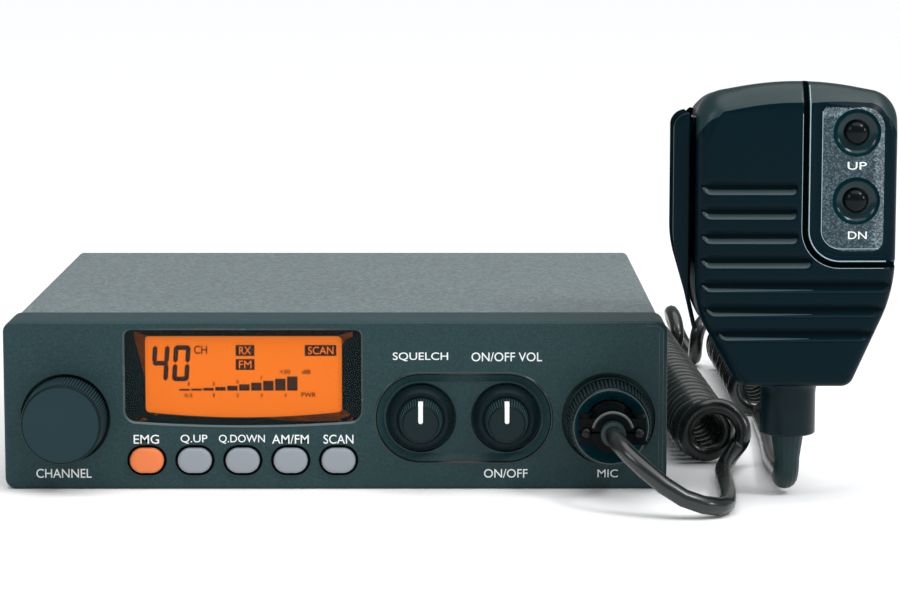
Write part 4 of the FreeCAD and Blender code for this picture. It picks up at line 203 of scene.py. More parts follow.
FLOAT, WHOLE, VECTOR, COLOUR, GEOMETRY, OBJECT, MATERIAL = (
    f"NodeSocket{kind}" for kind in ("Float", "Int", "Vector", "Color", "Geometry", "Object", "Material"))


SPECK_DARK = 0.45
SPECK_HIGH = 0.72
SPECK_LOW = 0.26
COAT_ROUGHNESS = 0.12


@cache
def surface_grain() -> bpy.types.NodeTree:
    """The shader group for a surface's grain and its slow change of tone.

    Returns:
        The group, made once. It puts out a height, a mottle mask and a roughness.
    """
    ins = {"Vector": VECTOR, "Scale": FLOAT, "Roughness": FLOAT, "Unevenness": FLOAT}
    outs = {"Height": FLOAT, "Mottle": FLOAT, "Roughness": FLOAT}
    graph = Graph.group("surface_grain", "ShaderNodeTree", ins, outs)
    given = graph.given
    place = given["Vector"]
    fine = graph.add("ShaderNodeTexNoise", {"Vector": place, "Scale": given["Scale"], "Detail": 2.0})
    patches = graph.add("ShaderNodeTexNoise", {"Vector": place, "Scale": 60.0, "Detail": 3.0})
    smears = graph.add("ShaderNodeTexNoise", {"Vector": place, "Scale": 140.0, "Detail": 4.0, "Distortion": 0.6})
    spread = graph.calc("MULTIPLY", graph.calc("SUBTRACT", smears.outputs[0], 0.5), given["Unevenness"])
    rough = graph.calc("ADD", given["Roughness"], spread)
    grained = graph.calc("MULTIPLY", fine.outputs[0], 0.6)
    mixed = graph.calc("ADD", grained, graph.calc("MULTIPLY", patches.outputs[0], 0.4))
    return graph.ends(fine.outputs[0], mixed, rough)


@cache
def paint_specks() -> bpy.types.NodeTree:
    """The shader group that scatters small light and dark specks over a colour.

    Returns:
        The group, made once. It puts out a colour.
    """
    ins = {"Vector": VECTOR, "Scale": FLOAT, "Amount": FLOAT, "Base": COLOUR, "Light": COLOUR, "Dark": COLOUR}
    graph = Graph.group("paint_specks", "ShaderNodeTree", ins, {"Colour": COLOUR})
    given = graph.given
    cells = graph.add("ShaderNodeTexVoronoi", {"Vector": given["Vector"], "Scale": given["Scale"]})
    pick = graph.add("ShaderNodeSeparateColor", {0: cells.outputs["Color"]})
    light = graph.calc("MULTIPLY", graph.calc("GREATER_THAN", pick.outputs[0], SPECK_HIGH), given["Amount"])
    dark = graph.calc("MULTIPLY", graph.calc("LESS_THAN", pick.outputs[0], SPECK_LOW), given["Amount"])
    first = graph.mix(light, given["Base"], given["Light"])
    return graph.ends(graph.mix(dark, first, given["Dark"]))


@dataclass(frozen=True)
class Finish:
    """A surface: its colour, gloss, grain and specks."""

    name: str
    colour: Colour
    roughness: float = 0.5
    grain: Grain = Grain.MOULDED
    metallic: float = 0.0
    coat: float = 0.0
    mottle: float = 0.12
    unevenness: float = 0.12
    specks: float = 0.0
    speck_scale: float = 1500.0
    speck_light: float = 1.9
    glow: float = 0.0
    alpha: float = 1.0
    specular: float = 0.5

    def shade(self, factor: float) -> tuple[float, float, float, float]:
        """The colour made lighter or darker by a factor."""
        red, green, blue, _ = linear(self.colour)
        return red * factor, green * factor, blue * factor, 1.0

    def material(self) -> bpy.types.Material:
        """Build the material, or find it if it is already made.

        Returns:
            The material, with its pattern on Object coordinates.
        """
        name = f"{self.name}_look"
        if name in bpy.data.materials:
            return bpy.data.materials[name]
        made = bpy.data.materials.new(name)
        made.use_nodes = True
        graph = Graph(made.node_tree)
        shader = made.node_tree.nodes["Principled BSDF"]
        place = graph.add("ShaderNodeTexCoord").outputs["Object"]
        scale, depth = self.grain.value
        values = {"Vector": place, "Scale": scale, "Roughness": self.roughness, "Unevenness": self.unevenness}
        grain = graph.add("ShaderNodeGroup", values, node_tree=surface_grain())
        colour = graph.mix(grain.outputs["Mottle"], self.shade(1 - self.mottle), self.shade(1 + self.mottle))
        if self.specks:
            values = {"Vector": place, "Scale": self.speck_scale, "Amount": self.specks, "Base": colour,
                      "Light": self.shade(self.speck_light), "Dark": self.shade(SPECK_DARK)}
            colour = graph.add("ShaderNodeGroup", values, node_tree=paint_specks()).outputs["Colour"]
        bump = graph.add("ShaderNodeBump", {"Height": grain.outputs["Height"], "Distance": depth})
        values = {"Base Color": colour, "Roughness": grain.outputs["Roughness"], "Normal": bump.outputs[0],
                  "Metallic": self.metallic, "Coat Weight": self.coat, "Coat Roughness": COAT_ROUGHNESS,
                  "Specular IOR Level": self.specular, "Alpha": self.alpha}
        if self.glow:
            values |= {"Emission Color": colour, "Emission Strength": self.glow}
        graph.fill(shader, values)
        return made


PANEL = Finish("panel_plastic", (32, 58, 61), 0.46, specks=0.2, speck_scale=2500.0, specular=0.22)
# Painted highlight: a lighter colour for thin beads on edges, standing in for the light those edges catch.
EDGE_HIGHLIGHT = Finish("panel_edge", (62, 84, 88), 0.25, Grain.SMOOTH)
COVER = Finish("cover_paint", (104, 116, 118), 0.55, Grain.PAINTED, specks=0.30, speck_scale=1250.0, mottle=0.08)
KNOB = Finish("knob_plastic", (12, 28, 32), 0.4, specular=0.11)
DISC = Finish("dial_face", (28, 51, 57), 0.45, specular=0.15)
SMALL_DISC = Finish("small_dial_face", (17, 33, 35), 0.42, specular=0.14)
# Painted highlight: the ribs are lighter than the knob, for the light ticks on their crests.
RIB_HIGHLIGHT = Finish("dial_rib_highlight", (48, 70, 74), 0.4, Grain.SMOOTH, specular=0.35)
POINTER = Finish("pointer_white", (238, 240, 238), 0.4, Grain.SMOOTH, mottle=0.03)
GREY_KEY = Finish("key_grey", (139, 146, 153), 0.4, mottle=0.03, specular=0.3)
ORANGE_KEY = Finish("key_orange", (226, 122, 68), 0.4, mottle=0.03, specular=0.3)
LENS = Finish("lens_glass", (190, 205, 205), 0.05, Grain.SMOOTH, alpha=0.015, specular=0.12)
# Painted shade: near black for gaps, wells and the groove, standing in for the shade in them.
SHADE_WELL = Finish("painted_shade_gap", (5, 12, 13), 0.8, specular=0.0)
MASK = Finish("display_mask", (9, 20, 21), 0.8, Grain.SMOOTH, specular=0.0)
LIT = Finish("display_lit", (204, 98, 4), 0.6, Grain.SMOOTH, glow=0.45, mottle=0.03, specular=0.03)
SEGMENT = Finish("display_segment", (48, 20, 8), 0.7, Grain.SMOOTH, specular=0.05)
FAINT = Finish("display_faint", (84, 34, 8), 0.7, Grain.SMOOTH, specular=0.0)
LABEL = Finish("label_white", (232, 238, 238), 0.5, Grain.SMOOTH, mottle=0.0)
RING = Finish("plug_black", (7, 15, 17), 0.24, Grain.SMOOTH, coat=0.2, specular=0.2)
CONE = Finish("plug_teal", (8, 50, 58), 0.2, Grain.SMOOTH, coat=0.3, specular=0.3)
CORD = Finish("cord_black", (9, 19, 19), 0.28, Grain.RUBBER, coat=0.25, unevenness=0.1, specular=0.5)
SLEEVE = Finish("cord_boot_grey", (26, 44, 44), 0.3, Grain.RUBBER, specular=0.35)
CLAMP = Finish("clamp_black", (2, 6, 7), 0.35, Grain.SMOOTH, specular=0.07)
# Painted highlight: a light grey for the arc of light on the clamp's collar.
ARCH_HIGHLIGHT = Finish("clamp_edge_highlight", (74, 80, 77), 0.3, Grain.SMOOTH, specular=0.4)
# Painted highlight: the knurl ribs are lighter than the ring, for the glints on their crests.
KNURL_HIGHLIGHT = Finish("plug_rib_highlight", (36, 52, 54), 0.3, Grain.SMOOTH, specular=0.4)
RECESS = Finish("recess_edge", (16, 32, 35), 0.2, Grain.SMOOTH, specular=0.5)
HAND = Finish("hand_plastic", (0, 22, 30), 0.3, unevenness=0.08, specular=0.07)
# Painted light: the top band of the microphone is lighter, as lit from above.
LIT_CROWN = Finish("hand_crown", (16, 42, 44), 0.36, unevenness=0.05, specular=0.35)
SHADE = Finish("hand_shade", (3, 12, 15), 0.6, specular=0.04)
LEVER = Finish("hand_lever", (8, 26, 32), 0.6, specular=0.0)
DISH = Finish("hand_dish", (4, 38, 44), 0.16, Grain.SMOOTH, specular=0.3)
# Painted highlight: a near white for thin beads on the microphone's edges.
LIP_HIGHLIGHT = Finish("hand_lip", (146, 170, 176), 0.3, Grain.SMOOTH)
# Its light specks are painted glints on the stipple's grain; the mottle is its own tone.
FIELD = Finish("hand_stipple", (46, 62, 69), 0.5, Grain.STIPPLED, mottle=0.25, specks=0.8, speck_scale=2600.0,
               speck_light=2.7, specular=0.3)
# Painted light: the field's right and top strips are lighter, with brighter specks, as lit from the right and above.
LIT_FIELD_EDGE = Finish("hand_stipple_lit_edge", (78, 92, 98), 0.5, Grain.STIPPLED, mottle=0.25, specks=0.8, speck_scale=2600.0,
                    speck_light=2.4, specular=0.3)
THUMB = Finish("hand_button", (5, 12, 15), 0.17, Grain.SMOOTH, specular=0.14)
# Painted light: lighter than the case, for the louvres' lit lower lips.
LIT_STEP = Finish("hand_step", (44, 62, 66), 0.35, specular=0.3)
GLAND = Finish("hand_collar", (8, 28, 34), 0.3, specular=0.12)
BOOT = Finish("cord_sleeve", (20, 44, 46), 0.4, Grain.RUBBER, specular=0.2)
STEEL = Finish("steel", (172, 175, 177), 0.32, Grain.BRUSHED, metallic=1.0)
BLACK_STEEL = Finish("black_steel", (24, 28, 30), 0.35, Grain.BRUSHED, metallic=0.7)
CHROME = Finish("chrome", (205, 208, 210), 0.14, Grain.SMOOTH, metallic=1.0)
ALUMINIUM = Finish("aluminium", (150, 153, 155), 0.45, Grain.PAINTED, metallic=0.9)
BRASS = Finish("brass", (190, 160, 84), 0.25, Grain.SMOOTH, metallic=1.0)
BLACK_PLASTIC = Finish("black_plastic", (18, 19, 20), 0.5)
WHITE_PLASTIC = Finish("white_plastic", (226, 224, 212), 0.35, Grain.SMOOTH)
LAMINATE = Finish("board_laminate", (28, 92, 52), 0.35, Grain.SMOOTH, coat=0.3)
PAPER = Finish("speaker_paper", (44, 41, 38), 0.9, Grain.PAPER)

SHEET = Finish("floor_sheet", (250, 251, 252), 0.9, Grain.SMOOTH, mottle=0.0, specular=0.1)

NODE_FINISHES: dict[str, Finish] = {name: finish for finish, names in (
    (PANEL, "front_panel"),
    (COVER, "top_cover bottom_cover"),
    (LENS, "display_lens"),
    (MASK, "display_mask"),
    (LIT, "lcd_panel"),
    (WHITE_PLASTIC, "lcd_lamp_block aerial_insulator"),
    (LAMINATE, "control_board main_board hand_board"),
    (BLACK_PLASTIC, "tact_switches channel_encoder squelch_control volume_control board_parts power_transistors"
     " speaker_jack power_inlet talk_switch"),
    (STEEL, "channel_shaft squelch_shaft volume_shaft chassis_frame speaker_frame hand_fixings"),
    (POINTER, "squelch_pointer volume_pointer"),
    (CHROME, "mic_socket aerial_socket"),
    (BRASS, "mic_contacts aerial_contact inlet_pins"),
    (RING, "plug_body plug_ring"),
    (CLAMP, "plug_clamp"),
    (SLEEVE, "cord_boot"),
    (BLACK_STEEL, "case_screws"),
    (PAPER, "speaker_cone"),
    (ALUMINIUM, "rear_panel mic_capsule"),
    (HAND, "hand_rear_shell talk_lever hand_front_shell"),
    (SHADE, "talk_pin"),
    (BOOT, "strain_relief"),
    (FIELD, "hand_key_panel"),
    (ORANGE_KEY, "emergency_button"),
    (GREY_KEY, "channel_up_button channel_down_button mode_button scan_button"),
    (KNOB, "channel_knob squelch_knob volume_knob"),
    (THUMB, "up_button down_button"),
    (CORD, "cord_plug_lead cord_curls cord_hand_lead"),
) for name in names.split()}


def in_scene(name: str, data: bpy.types.ID) -> bpy.types.Object:
    """Make an object of some data and link it to the scene.

    Args:
        name: the object's name.
        data: its mesh, lamp or camera.

    Returns:
        The new object.
    """
    made = bpy.data.objects.new(name, data)
    bpy.context.scene.collection.objects.link(made)
    return made


def plain_mesh(holder: bpy.types.Object) -> bpy.types.Mesh:
    """Take the finished shape of a helper object as a plain mesh. The helper goes.

    Args:
        holder: the helper, with its modifiers or its text.

    Returns:
        The mesh.
    """
    graph = bpy.context.evaluated_depsgraph_get()
    made = bpy.data.meshes.new_from_object(holder.evaluated_get(graph), depsgraph=graph)
    holder.modifiers.clear()
    bpy.data.objects.remove(holder)
    return made


def piece(name: str, mesh: bpy.types.Mesh, finish: Finish, body: str = SET_BODY, angle: float = 35.0,
          node: str = "") -> bpy.types.Object:
    """Put a mesh in the scene as a finished piece that rides on a body.

    Args:
        name: the piece's name.
        mesh: its mesh, in place in the frame.
        finish: its surface.
        body: the CAD body that it moves with.
        angle: edges sharper than this many degrees stay sharp.
        node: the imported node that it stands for, if there is one.

    Returns:
        The new object.
    """
    mesh.name = name
    mesh.materials.clear()
    mesh.materials.append(finish.material())
    mesh.shade_smooth()
    mesh.set_sharp_from_angle(angle=math.radians(angle))
    made = in_scene(name, mesh)
    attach(made, body)
    if node:
        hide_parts(node)
    return made


def mesh_of(points: Iterable[Sequence[float]], faces: Iterable[Sequence[int]], tidy: bool = True) -> bpy.types.Mesh:
    """Make a mesh from points in millimetres.

    Args:
        points: the corners.
        faces: each face's corner numbers.
        tidy: merge doubles and turn the faces outwards.

    Returns:
        The mesh, in metres.
    """
    mesh = bpy.data.meshes.new("part")
    mesh.from_pydata([[c * MM for c in p] for p in points], [], [list(f) for f in faces])
    if tidy:
        work = bmesh.new()
        work.from_mesh(mesh)
        bmesh.ops.remove_doubles(work, verts=work.verts, dist=1e-7)
        bmesh.ops.recalc_face_normals(work, faces=work.faces)
        work.to_mesh(mesh)
        work.free()
    return mesh


def rings_mesh(rings: Sequence[Sequence[Point3]], caps: bool = True, loop: bool = False) -> bpy.types.Mesh:
    """Join closed rings of points with faces.

    Args:
        rings: the rings, each with as many points.
        caps: close the first and the last ring.
        loop: join the last ring to the first one.

    Returns:
        The mesh.
    """
    count = len(rings[0])
    points = [p for ring in rings for p in ring]
    faces: list[list[int]] = []
    total = len(rings)
    for i in range(total if loop else total - 1):
        near, far = i * count, (i + 1) % total * count
        for j in range(count):
            k = (j + 1) % count
            faces.append([near + j, near + k, far + k, far + j])
    if caps and not loop:
        faces.append(list(range(count)))
        faces.append(list(range((total - 1) * count, total * count)))
    return mesh_of(points, faces)


def turned(profile: Sequence[Point2], x: float, z: float, sides: int = 96) -> bpy.types.Mesh:
    """A turned solid about a line along Y.

    Args:
        profile: radius and Y of each corner, from one end to the other.
        x: the line's X.
        z: the line's Z.
        sides: how many flats go round.

    Returns:
        The mesh, closed where the profile starts and ends on the line.
    """
    rings = []
    for radius, y in profile:
        reach = max(radius, 1e-4)
        rings.append([(x + reach * math.cos(a), y, z + reach * math.sin(a)) for a in angles(FULL_TURN, sides)[:-1]])
    closed = profile[0][0] > 1e-3 or profile[-1][0] > 1e-3
    return rings_mesh(rings, caps=not closed, loop=closed)


def rounded(corners: Sequence[tuple[float, float, float]], step: float = 0.5) -> list[Point2]:
    """Sample an outline whose corners are rounded.

    Args:
        corners: x, z and rounding radius of each corner, in order.
        step: the longest gap between points.

    Returns:
        Points round the outline.
    """
    spots = [Vector((x, z)) for x, z, _ in corners]
    marks: list[Vector] = []
    for i, (_, _, radius) in enumerate(corners):
        here = spots[i]
        back = (spots[i - 1] - here).normalized()
        ahead = (spots[(i + 1) % len(spots)] - here).normalized()
        half = back.angle(ahead) / 2
        if radius == 0:
            marks.append(here)
            continue
        hub = here + (back + ahead).normalized() * (radius / math.sin(half))
        start = here + back * (radius / math.tan(half)) - hub
        end = here + ahead * (radius / math.tan(half)) - hub
        sweep = start.angle_signed(end)
        parts = max(3, math.ceil(abs(sweep) * radius / step))
        for k in range(parts + 1):
            turn = -sweep * k / parts
            cos, sin = math.cos(turn), math.sin(turn)
            marks.append(hub + Vector((start.x * cos - start.y * sin, start.x * sin + start.y * cos)))
    made: list[Point2] = []
    for i, mark in enumerate(marks):
        ahead = marks[(i + 1) % len(marks)]
        length = (ahead - mark).length
        if length < 1e-4:
            continue
        parts = max(1, math.ceil(length / step))
        for k in range(parts):
            spot = mark.lerp(ahead, k / parts)
            made.append((spot.x, spot.y))
    return made


def rectangle(x: float, z: float, width: float, height: float, radius: float) -> list[tuple[float, float, float]]:
    """Corners of a rectangle about a point, for rounded()."""
    w, h = width / 2, height / 2
    return [(x - w, z - h, radius), (x + w, z - h, radius), (x + w, z + h, radius), (x - w, z + h, radius)]


def drawn_in(points: Sequence[Point2], inset: float) -> list[Point2]:
    """Move an outline's points inwards along its normals.

    Args:
        points: an outline, anticlockwise.
        inset: how far inwards.

    Returns:
        The moved points.
    """
    made = []
    for i, (x, z) in enumerate(points):
        ax, az = points[i - 1]
        bx, bz = points[(i + 1) % len(points)]
        length = math.hypot(bx - ax, bz - az)
        made.append((x - (bz - az) / length * inset, z + (bx - ax) / length * inset))
    return made


def stacked(points: Sequence[Point2], levels: Sequence[tuple[float, float]], caps: bool = True,
            loop: bool = False) -> bpy.types.Mesh:
    """A solid of one outline at several depths.

    Args:
        points: the outline, anticlockwise, as x and z.
        levels: inset and y of each level.
        caps: close both ends.
        loop: join the last level to the first.

    Returns:
        The mesh.
    """
    rings = [[(x, y, z) for x, z in drawn_in(points, inset)] for inset, y in levels]
    return rings_mesh(rings, caps, loop)


def bead(path: Sequence[Point3], radius: float, sides: int = 8) -> bpy.types.Mesh:
    """A thin round bead along a path.

    Args:
        path: the points it follows.
        radius: its radius.
        sides: how many flats go round.

    Returns:
        The mesh, closed at both ends.
    """
    rings = []
    spots = [Vector(p) for p in path]
    for i, spot in enumerate(spots):
        along = (spots[min(i + 1, len(spots) - 1)] - spots[max(i - 1, 0)]).normalized()
        side = along.cross(Vector((0.0, 1.0, 0.0))).normalized()
        up = side.cross(along)
        around = (side * math.cos(a) + up * math.sin(a) for a in angles(FULL_TURN, sides)[:-1])
        rings.append([tuple(spot + way * radius) for way in around])
    return rings_mesh(rings)


def nearest(outline: np.ndarray, x: np.ndarray, z: np.ndarray) -> tuple[np.ndarray, np.ndarray]:
    """The nearest point on a closed outline to each of many points.

    Args:
        outline: the outline's corners.
        x: across.
        z: height.

    Returns:
        Across and height of the nearest points.
    """
    side = np.roll(outline, -1, axis=0) - outline
    dx, dz = x[:, None] - outline[:, 0], z[:, None] - outline[:, 1]
    share = np.clip((dx * side[:, 0] + dz * side[:, 1]) / (side ** 2).sum(axis=1), 0, 1)
    pick = np.hypot(dx - share * side[:, 0], dz - share * side[:, 1]).argmin(axis=1)
    part = share[np.arange(len(x)), pick]
    return outline[pick, 0] + part * side[pick, 0], outline[pick, 1] + part * side[pick, 1]


def gap_inside(outline: np.ndarray, x: np.ndarray, z: np.ndarray) -> np.ndarray:
    """How far inside a closed outline each point lies, negative outside it.

    Args:
        outline: the outline's corners.
        x: across.
        z: height.

    Returns:
        Distances to the outline.
    """
    near_x, near_z = nearest(outline, x, z)
    far = np.hypot(x - near_x, z - near_z)
    ahead = np.roll(outline, -1, axis=0)
    spans = (outline[:, 1] > z[:, None]) != (ahead[:, 1] > z[:, None])
    rise = ahead[:, 1] - outline[:, 1]
    slope = (ahead[:, 0] - outline[:, 0]) / np.where(rise == 0, 1.0, rise)
    crossed = spans & (x[:, None] - outline[:, 0] < (z[:, None] - outline[:, 1]) * slope)
    return np.where(crossed.sum(axis=1) % 2 == 1, far, -far)


def packed_copy(name: str) -> tuple[bpy.types.Mesh, np.ndarray]:
    """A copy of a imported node's mesh, to be shaped for looks.

    Args:
        name: the node.

    Returns:
        The copy, and its corners in millimetres.
    """
    node = node_object(name)
    mesh = node.data.copy()
    mesh.transform(node.matrix_world)
    return mesh, np.array([v.co for v in mesh.vertices]) / MM


def angles(span: float, parts: int, first: int = 0) -> list[float]:
    """Evenly spaced angles from nought up to a span.

    Args:
        span: the last angle.
        parts: how many steps there are to it.
        first: the step to begin with.

    Returns:
        The angles, with the last one kept.
    """
    return [span * k / parts for k in range(first, parts + 1)]


def joined(meshes: Sequence[bpy.types.Mesh]) -> bpy.types.Mesh:
    """Put several meshes into one.

    Args:
        meshes: the meshes, which stay as they are.

    Returns:
        The new mesh.
    """
    work = bmesh.new()
    for mesh in meshes:
        work.from_mesh(mesh)
    made = bpy.data.meshes.new("part")
    work.to_mesh(made)
    work.free()
    return made


def grown(tree: bpy.types.NodeTree, base: bpy.types.Mesh, values: dict[str, object]) -> bpy.types.Mesh:
    """Run a Geometry Nodes tree on a mesh and keep the result as a plain mesh.

    Args:
        tree: the tree, with named inputs.
        base: the mesh that it starts from.
        values: input name to value.

    Returns:
        The plain result.
    """
    holder = in_scene("holder", base)
    modifier = holder.modifiers.new("grow", "NODES")
    modifier.node_group = tree
    for item in tree.interface.items_tree:
        if item.item_type == "SOCKET" and item.in_out == "INPUT" and item.name in values:
            modifier[item.identifier] = values[item.name]
    return plain_mesh(holder)


@cache
def stand_on_points() -> bpy.types.NodeTree:
    """The Geometry Nodes tree that stands a copy of a part on each point.

    Returns:
        The tree, made once. Each point's direction is its attribute facing, and each copy has its own turn.
    """
    ins = {"Geometry": GEOMETRY, "Part": OBJECT, "Size": FLOAT, "Turn": FLOAT, "Seed": WHOLE, "Material": MATERIAL}
    graph = Graph.group("stand_on_points", "GeometryNodeTree", ins, {"Geometry": GEOMETRY})
    given = graph.given
    facing = graph.add("GeometryNodeInputNamedAttribute", {"Name": "facing"}, data_type="FLOAT_VECTOR")
    turn = graph.add("FunctionNodeRandomValue", {"Seed": given["Seed"], 3: given["Turn"]})
    spin = graph.add("ShaderNodeCombineXYZ", {2: turn.outputs[1]})
    aim = graph.add("FunctionNodeAlignRotationToVector", {"Vector": facing.outputs[0]}, axis="Z")
    part = graph.add("GeometryNodeObjectInfo", {"Object": given["Part"]})
    copies = graph.add("GeometryNodeInstanceOnPoints", {
        "Points": given["Geometry"], "Instance": part.outputs["Geometry"], "Rotation": aim.outputs[0],
        "Scale": given["Size"]})
    spun = graph.add("GeometryNodeRotateInstances", {"Instances": copies.outputs[0], "Rotation": spin.outputs[0]})
    return graph.ends_dressed(spun)


@cache
def ribs_round() -> bpy.types.NodeTree:
    """The Geometry Nodes tree that sets ribs round a dial, from a front radius to a back radius.

    Returns:
        The tree, made once. The ribs stand about Z.
    """
    ins = {"Geometry": GEOMETRY, "Count": WHOLE, "Radius": FLOAT, "Width": FLOAT, "Depth": FLOAT, "Length": FLOAT,
           "Lean": FLOAT, "Material": MATERIAL}
    graph = Graph.group("ribs_round", "GeometryNodeTree", ins, {"Geometry": GEOMETRY})
    given = graph.given
    circle = graph.add("GeometryNodeMeshCircle", {"Vertices": given["Count"], "Radius": given["Radius"]})
    size = graph.add("ShaderNodeCombineXYZ", {0: given["Depth"], 1: given["Width"], 2: given["Length"]})
    bar = graph.add("GeometryNodeMeshCylinder", {"Vertices": 6, "Radius": 0.5, "Depth": 1.0})
    shaped = graph.add("GeometryNodeTransform", {"Geometry": bar.outputs["Mesh"], "Scale": size.outputs[0]})
    lean = graph.add("ShaderNodeCombineXYZ", {1: given["Lean"]})
    leaned = graph.add("GeometryNodeTransform", {"Geometry": shaped.outputs[0], "Rotation": lean.outputs[0]})
    outward = graph.add("FunctionNodeAlignRotationToVector", {
        "Vector": graph.add("GeometryNodeInputPosition").outputs[0]}, axis="X", pivot_axis="Z")
    copies = graph.add("GeometryNodeInstanceOnPoints", {
        "Points": circle.outputs[0], "Instance": leaned.outputs[0], "Rotation": outward.outputs[0]})
    return graph.ends_dressed(copies)


@cache
def meter_bars() -> bpy.types.NodeTree:
    """The Geometry Nodes tree for the display's row of growing bars.

    Returns:
        The tree, made once. The bars stand on a line along X and grow in Z.
    """
    ins = {"Geometry": GEOMETRY, "Count": WHOLE, "Pitch": FLOAT, "Width": FLOAT, "Low": FLOAT, "High": FLOAT,
           "Thickness": FLOAT, "Material": MATERIAL}
    graph = Graph.group("meter_bars", "GeometryNodeTree", ins, {"Geometry": GEOMETRY})
    given = graph.given
    step = graph.add("ShaderNodeCombineXYZ", {0: given["Pitch"]})
    line = graph.add("GeometryNodeMeshLine", {"Count": given["Count"], "Offset": step.outputs[0]})
    index = graph.add("GeometryNodeInputIndex").outputs[0]
    share = graph.calc("DIVIDE", index, graph.calc("SUBTRACT", given["Count"], 1.0))
    rise = graph.calc("MULTIPLY", graph.calc("POWER", share, 1.7), given["High"])
    height = graph.calc("ADD", given["Low"], rise)
    size = graph.add("ShaderNodeCombineXYZ", {0: given["Width"], 1: given["Thickness"], 2: height})
    cube = graph.add("GeometryNodeMeshCube")
    stood = graph.add("GeometryNodeTransform", {"Geometry": cube.outputs["Mesh"], "Translation": (0.5, 0.0, 0.5)})
    copies = graph.add("GeometryNodeInstanceOnPoints", {
        "Points": line.outputs[0], "Instance": stood.outputs[0], "Scale": size.outputs[0]})
    return graph.ends_dressed(copies)


@dataclass(frozen=True)
class Words:
    """A line of plain lettering on a face that looks forward."""

    name: str
    text: str
    left: float
    width: float
    foot: float
    height: float
    y: float = FRONT_Y - 0.03
    finish: Finish = LABEL
    body: str = SET_BODY
    weight: float = 0.004

    def mesh(self) -> bpy.types.Mesh:
        """Shape the letters to fit their box.

        Returns:
            The letters as a thin solid.
        """
        curve = bpy.data.curves.new(self.name, "FONT")
        curve.body = self.text
        curve.extrude = 0.01
        curve.offset = self.weight
        curve.resolution_u = 4
        mesh = plain_mesh(in_scene("holder", curve))
        spots = np.array([v.co for v in mesh.vertices])
        low, high = spots.min(axis=0), spots.max(axis=0)
        across = self.width / (high[0] - low[0])
        up = self.height / (high[1] - low[1])
        flat = 0.02 / (high[2] - low[2])
        place = Matrix.Translation(Vector((self.left, self.y, self.foot)) * MM)
        turn = Matrix.Rotation(QUARTER_TURN, 4, "X")
        size = Matrix.Diagonal((across * MM, up * MM, flat * MM, 1.0))
        mesh.transform(place @ turn @ size @ Matrix.Translation((-low[0], -low[1], -low[2])))
        return mesh

    def build(self) -> bpy.types.Object:
        """Put the lettering in the scene."""
        return piece(self.name, self.mesh(), self.finish, self.body)


@dataclass
class Studio:
    """The floor, the lights and the camera."""

    camera: Point3 = (29.87, -907.4, 161.08)
    lens: float = 123.33
    sensor: float = 36.0
    pitch: float = 7.536
    yaw: float = 0.0825
    floor_size: float = 16000.0
    floor_z: float = -0.05
    sky_power: float = 2.25
    sky_spread: float = 70.0
    sky_tilt: Point2 = (12.0, 7.0)
    ambient: float = 0.35
    backdrop: float = 0.65

    LIGHTS = (("left_box", (-760, -760, 640), (20, -80, 30), 320, 2.0),
              ("right_box", (700, -640, 860), (60, -80, 40), 260, 4.2),
              ("side_box", (815, -470, 300), (120, -107, 85), 110, 1.0))

    def build(self) -> None:
        """Make the stage, with the photograph's view."""
        self.floor()
        self.sky()
        for row in self.LIGHTS:
            self.light(*row)
        self.surroundings()
        self.view()

    def floor(self) -> None:
        """A pale sheet under the set."""
        half = self.floor_size / 2
        corners = [(x, y, self.floor_z) for x, y in ((-half, -half), (half, -half), (half, half), (-half, half))]
        mesh = mesh_of(corners, [(0, 1, 2, 3)], tidy=False)
        mesh.materials.append(SHEET.material())
        in_scene("floor", mesh)

    def sky(self) -> None:
        """One broad soft light from above, a little from the front, that reaches all of the floor."""
        data = bpy.data.lights.new("sky", "SUN")
        data.energy = self.sky_power
        data.angle = math.radians(self.sky_spread)
        in_scene("sky", data).rotation_euler = (*map(math.radians, self.sky_tilt), 0.0)

    def light(self, name: str, place: Point3, aim: Point3, size: float, power: float) -> None:
        """Hang one soft light that points at a place.

        Args:
            name: the light's name.
            place: where it hangs.
            aim: the point that it faces.
            size: its side.
            power: its power in watts.
        """
        data = bpy.data.lights.new(name, "AREA")
        data.size = size * MM
        data.energy = power
        lamp = in_scene(name, data)
        lamp.location = Vector(place) * MM
        lamp.rotation_euler = (Vector(aim) * MM - Vector(place) * MM).to_track_quat("-Z", "Y").to_euler()

    def surroundings(self) -> None:
        """Even white light all round, and a white backdrop."""
        world = bpy.data.worlds.new("studio")
        world.use_nodes = True
        graph = Graph(world.node_tree)
        back = world.node_tree.nodes["Background"]
        back.inputs[0].default_value = (1.0, 1.0, 1.0, 1.0)
        seen = graph.add("ShaderNodeLightPath").outputs["Is Camera Ray"]
        strength = graph.calc("ADD", graph.calc("MULTIPLY", seen, self.backdrop), self.ambient)
        world.node_tree.links.new(strength, back.inputs[1])
        bpy.context.scene.world = world

    def view(self) -> None:
        """Set the camera where the photograph was taken from."""
        data = bpy.data.cameras.new("camera")
        data.lens = self.lens
        data.sensor_width = self.sensor
        data.clip_end = 50.0
        eye = in_scene("camera", data)
        eye.location = Vector(self.camera) * MM
        eye.rotation_euler = (math.radians(90 - self.pitch), 0.0, math.radians(-self.yaw))
        bpy.context.scene.camera = eye
        bpy.context.scene.view_settings.view_transform = "Standard"


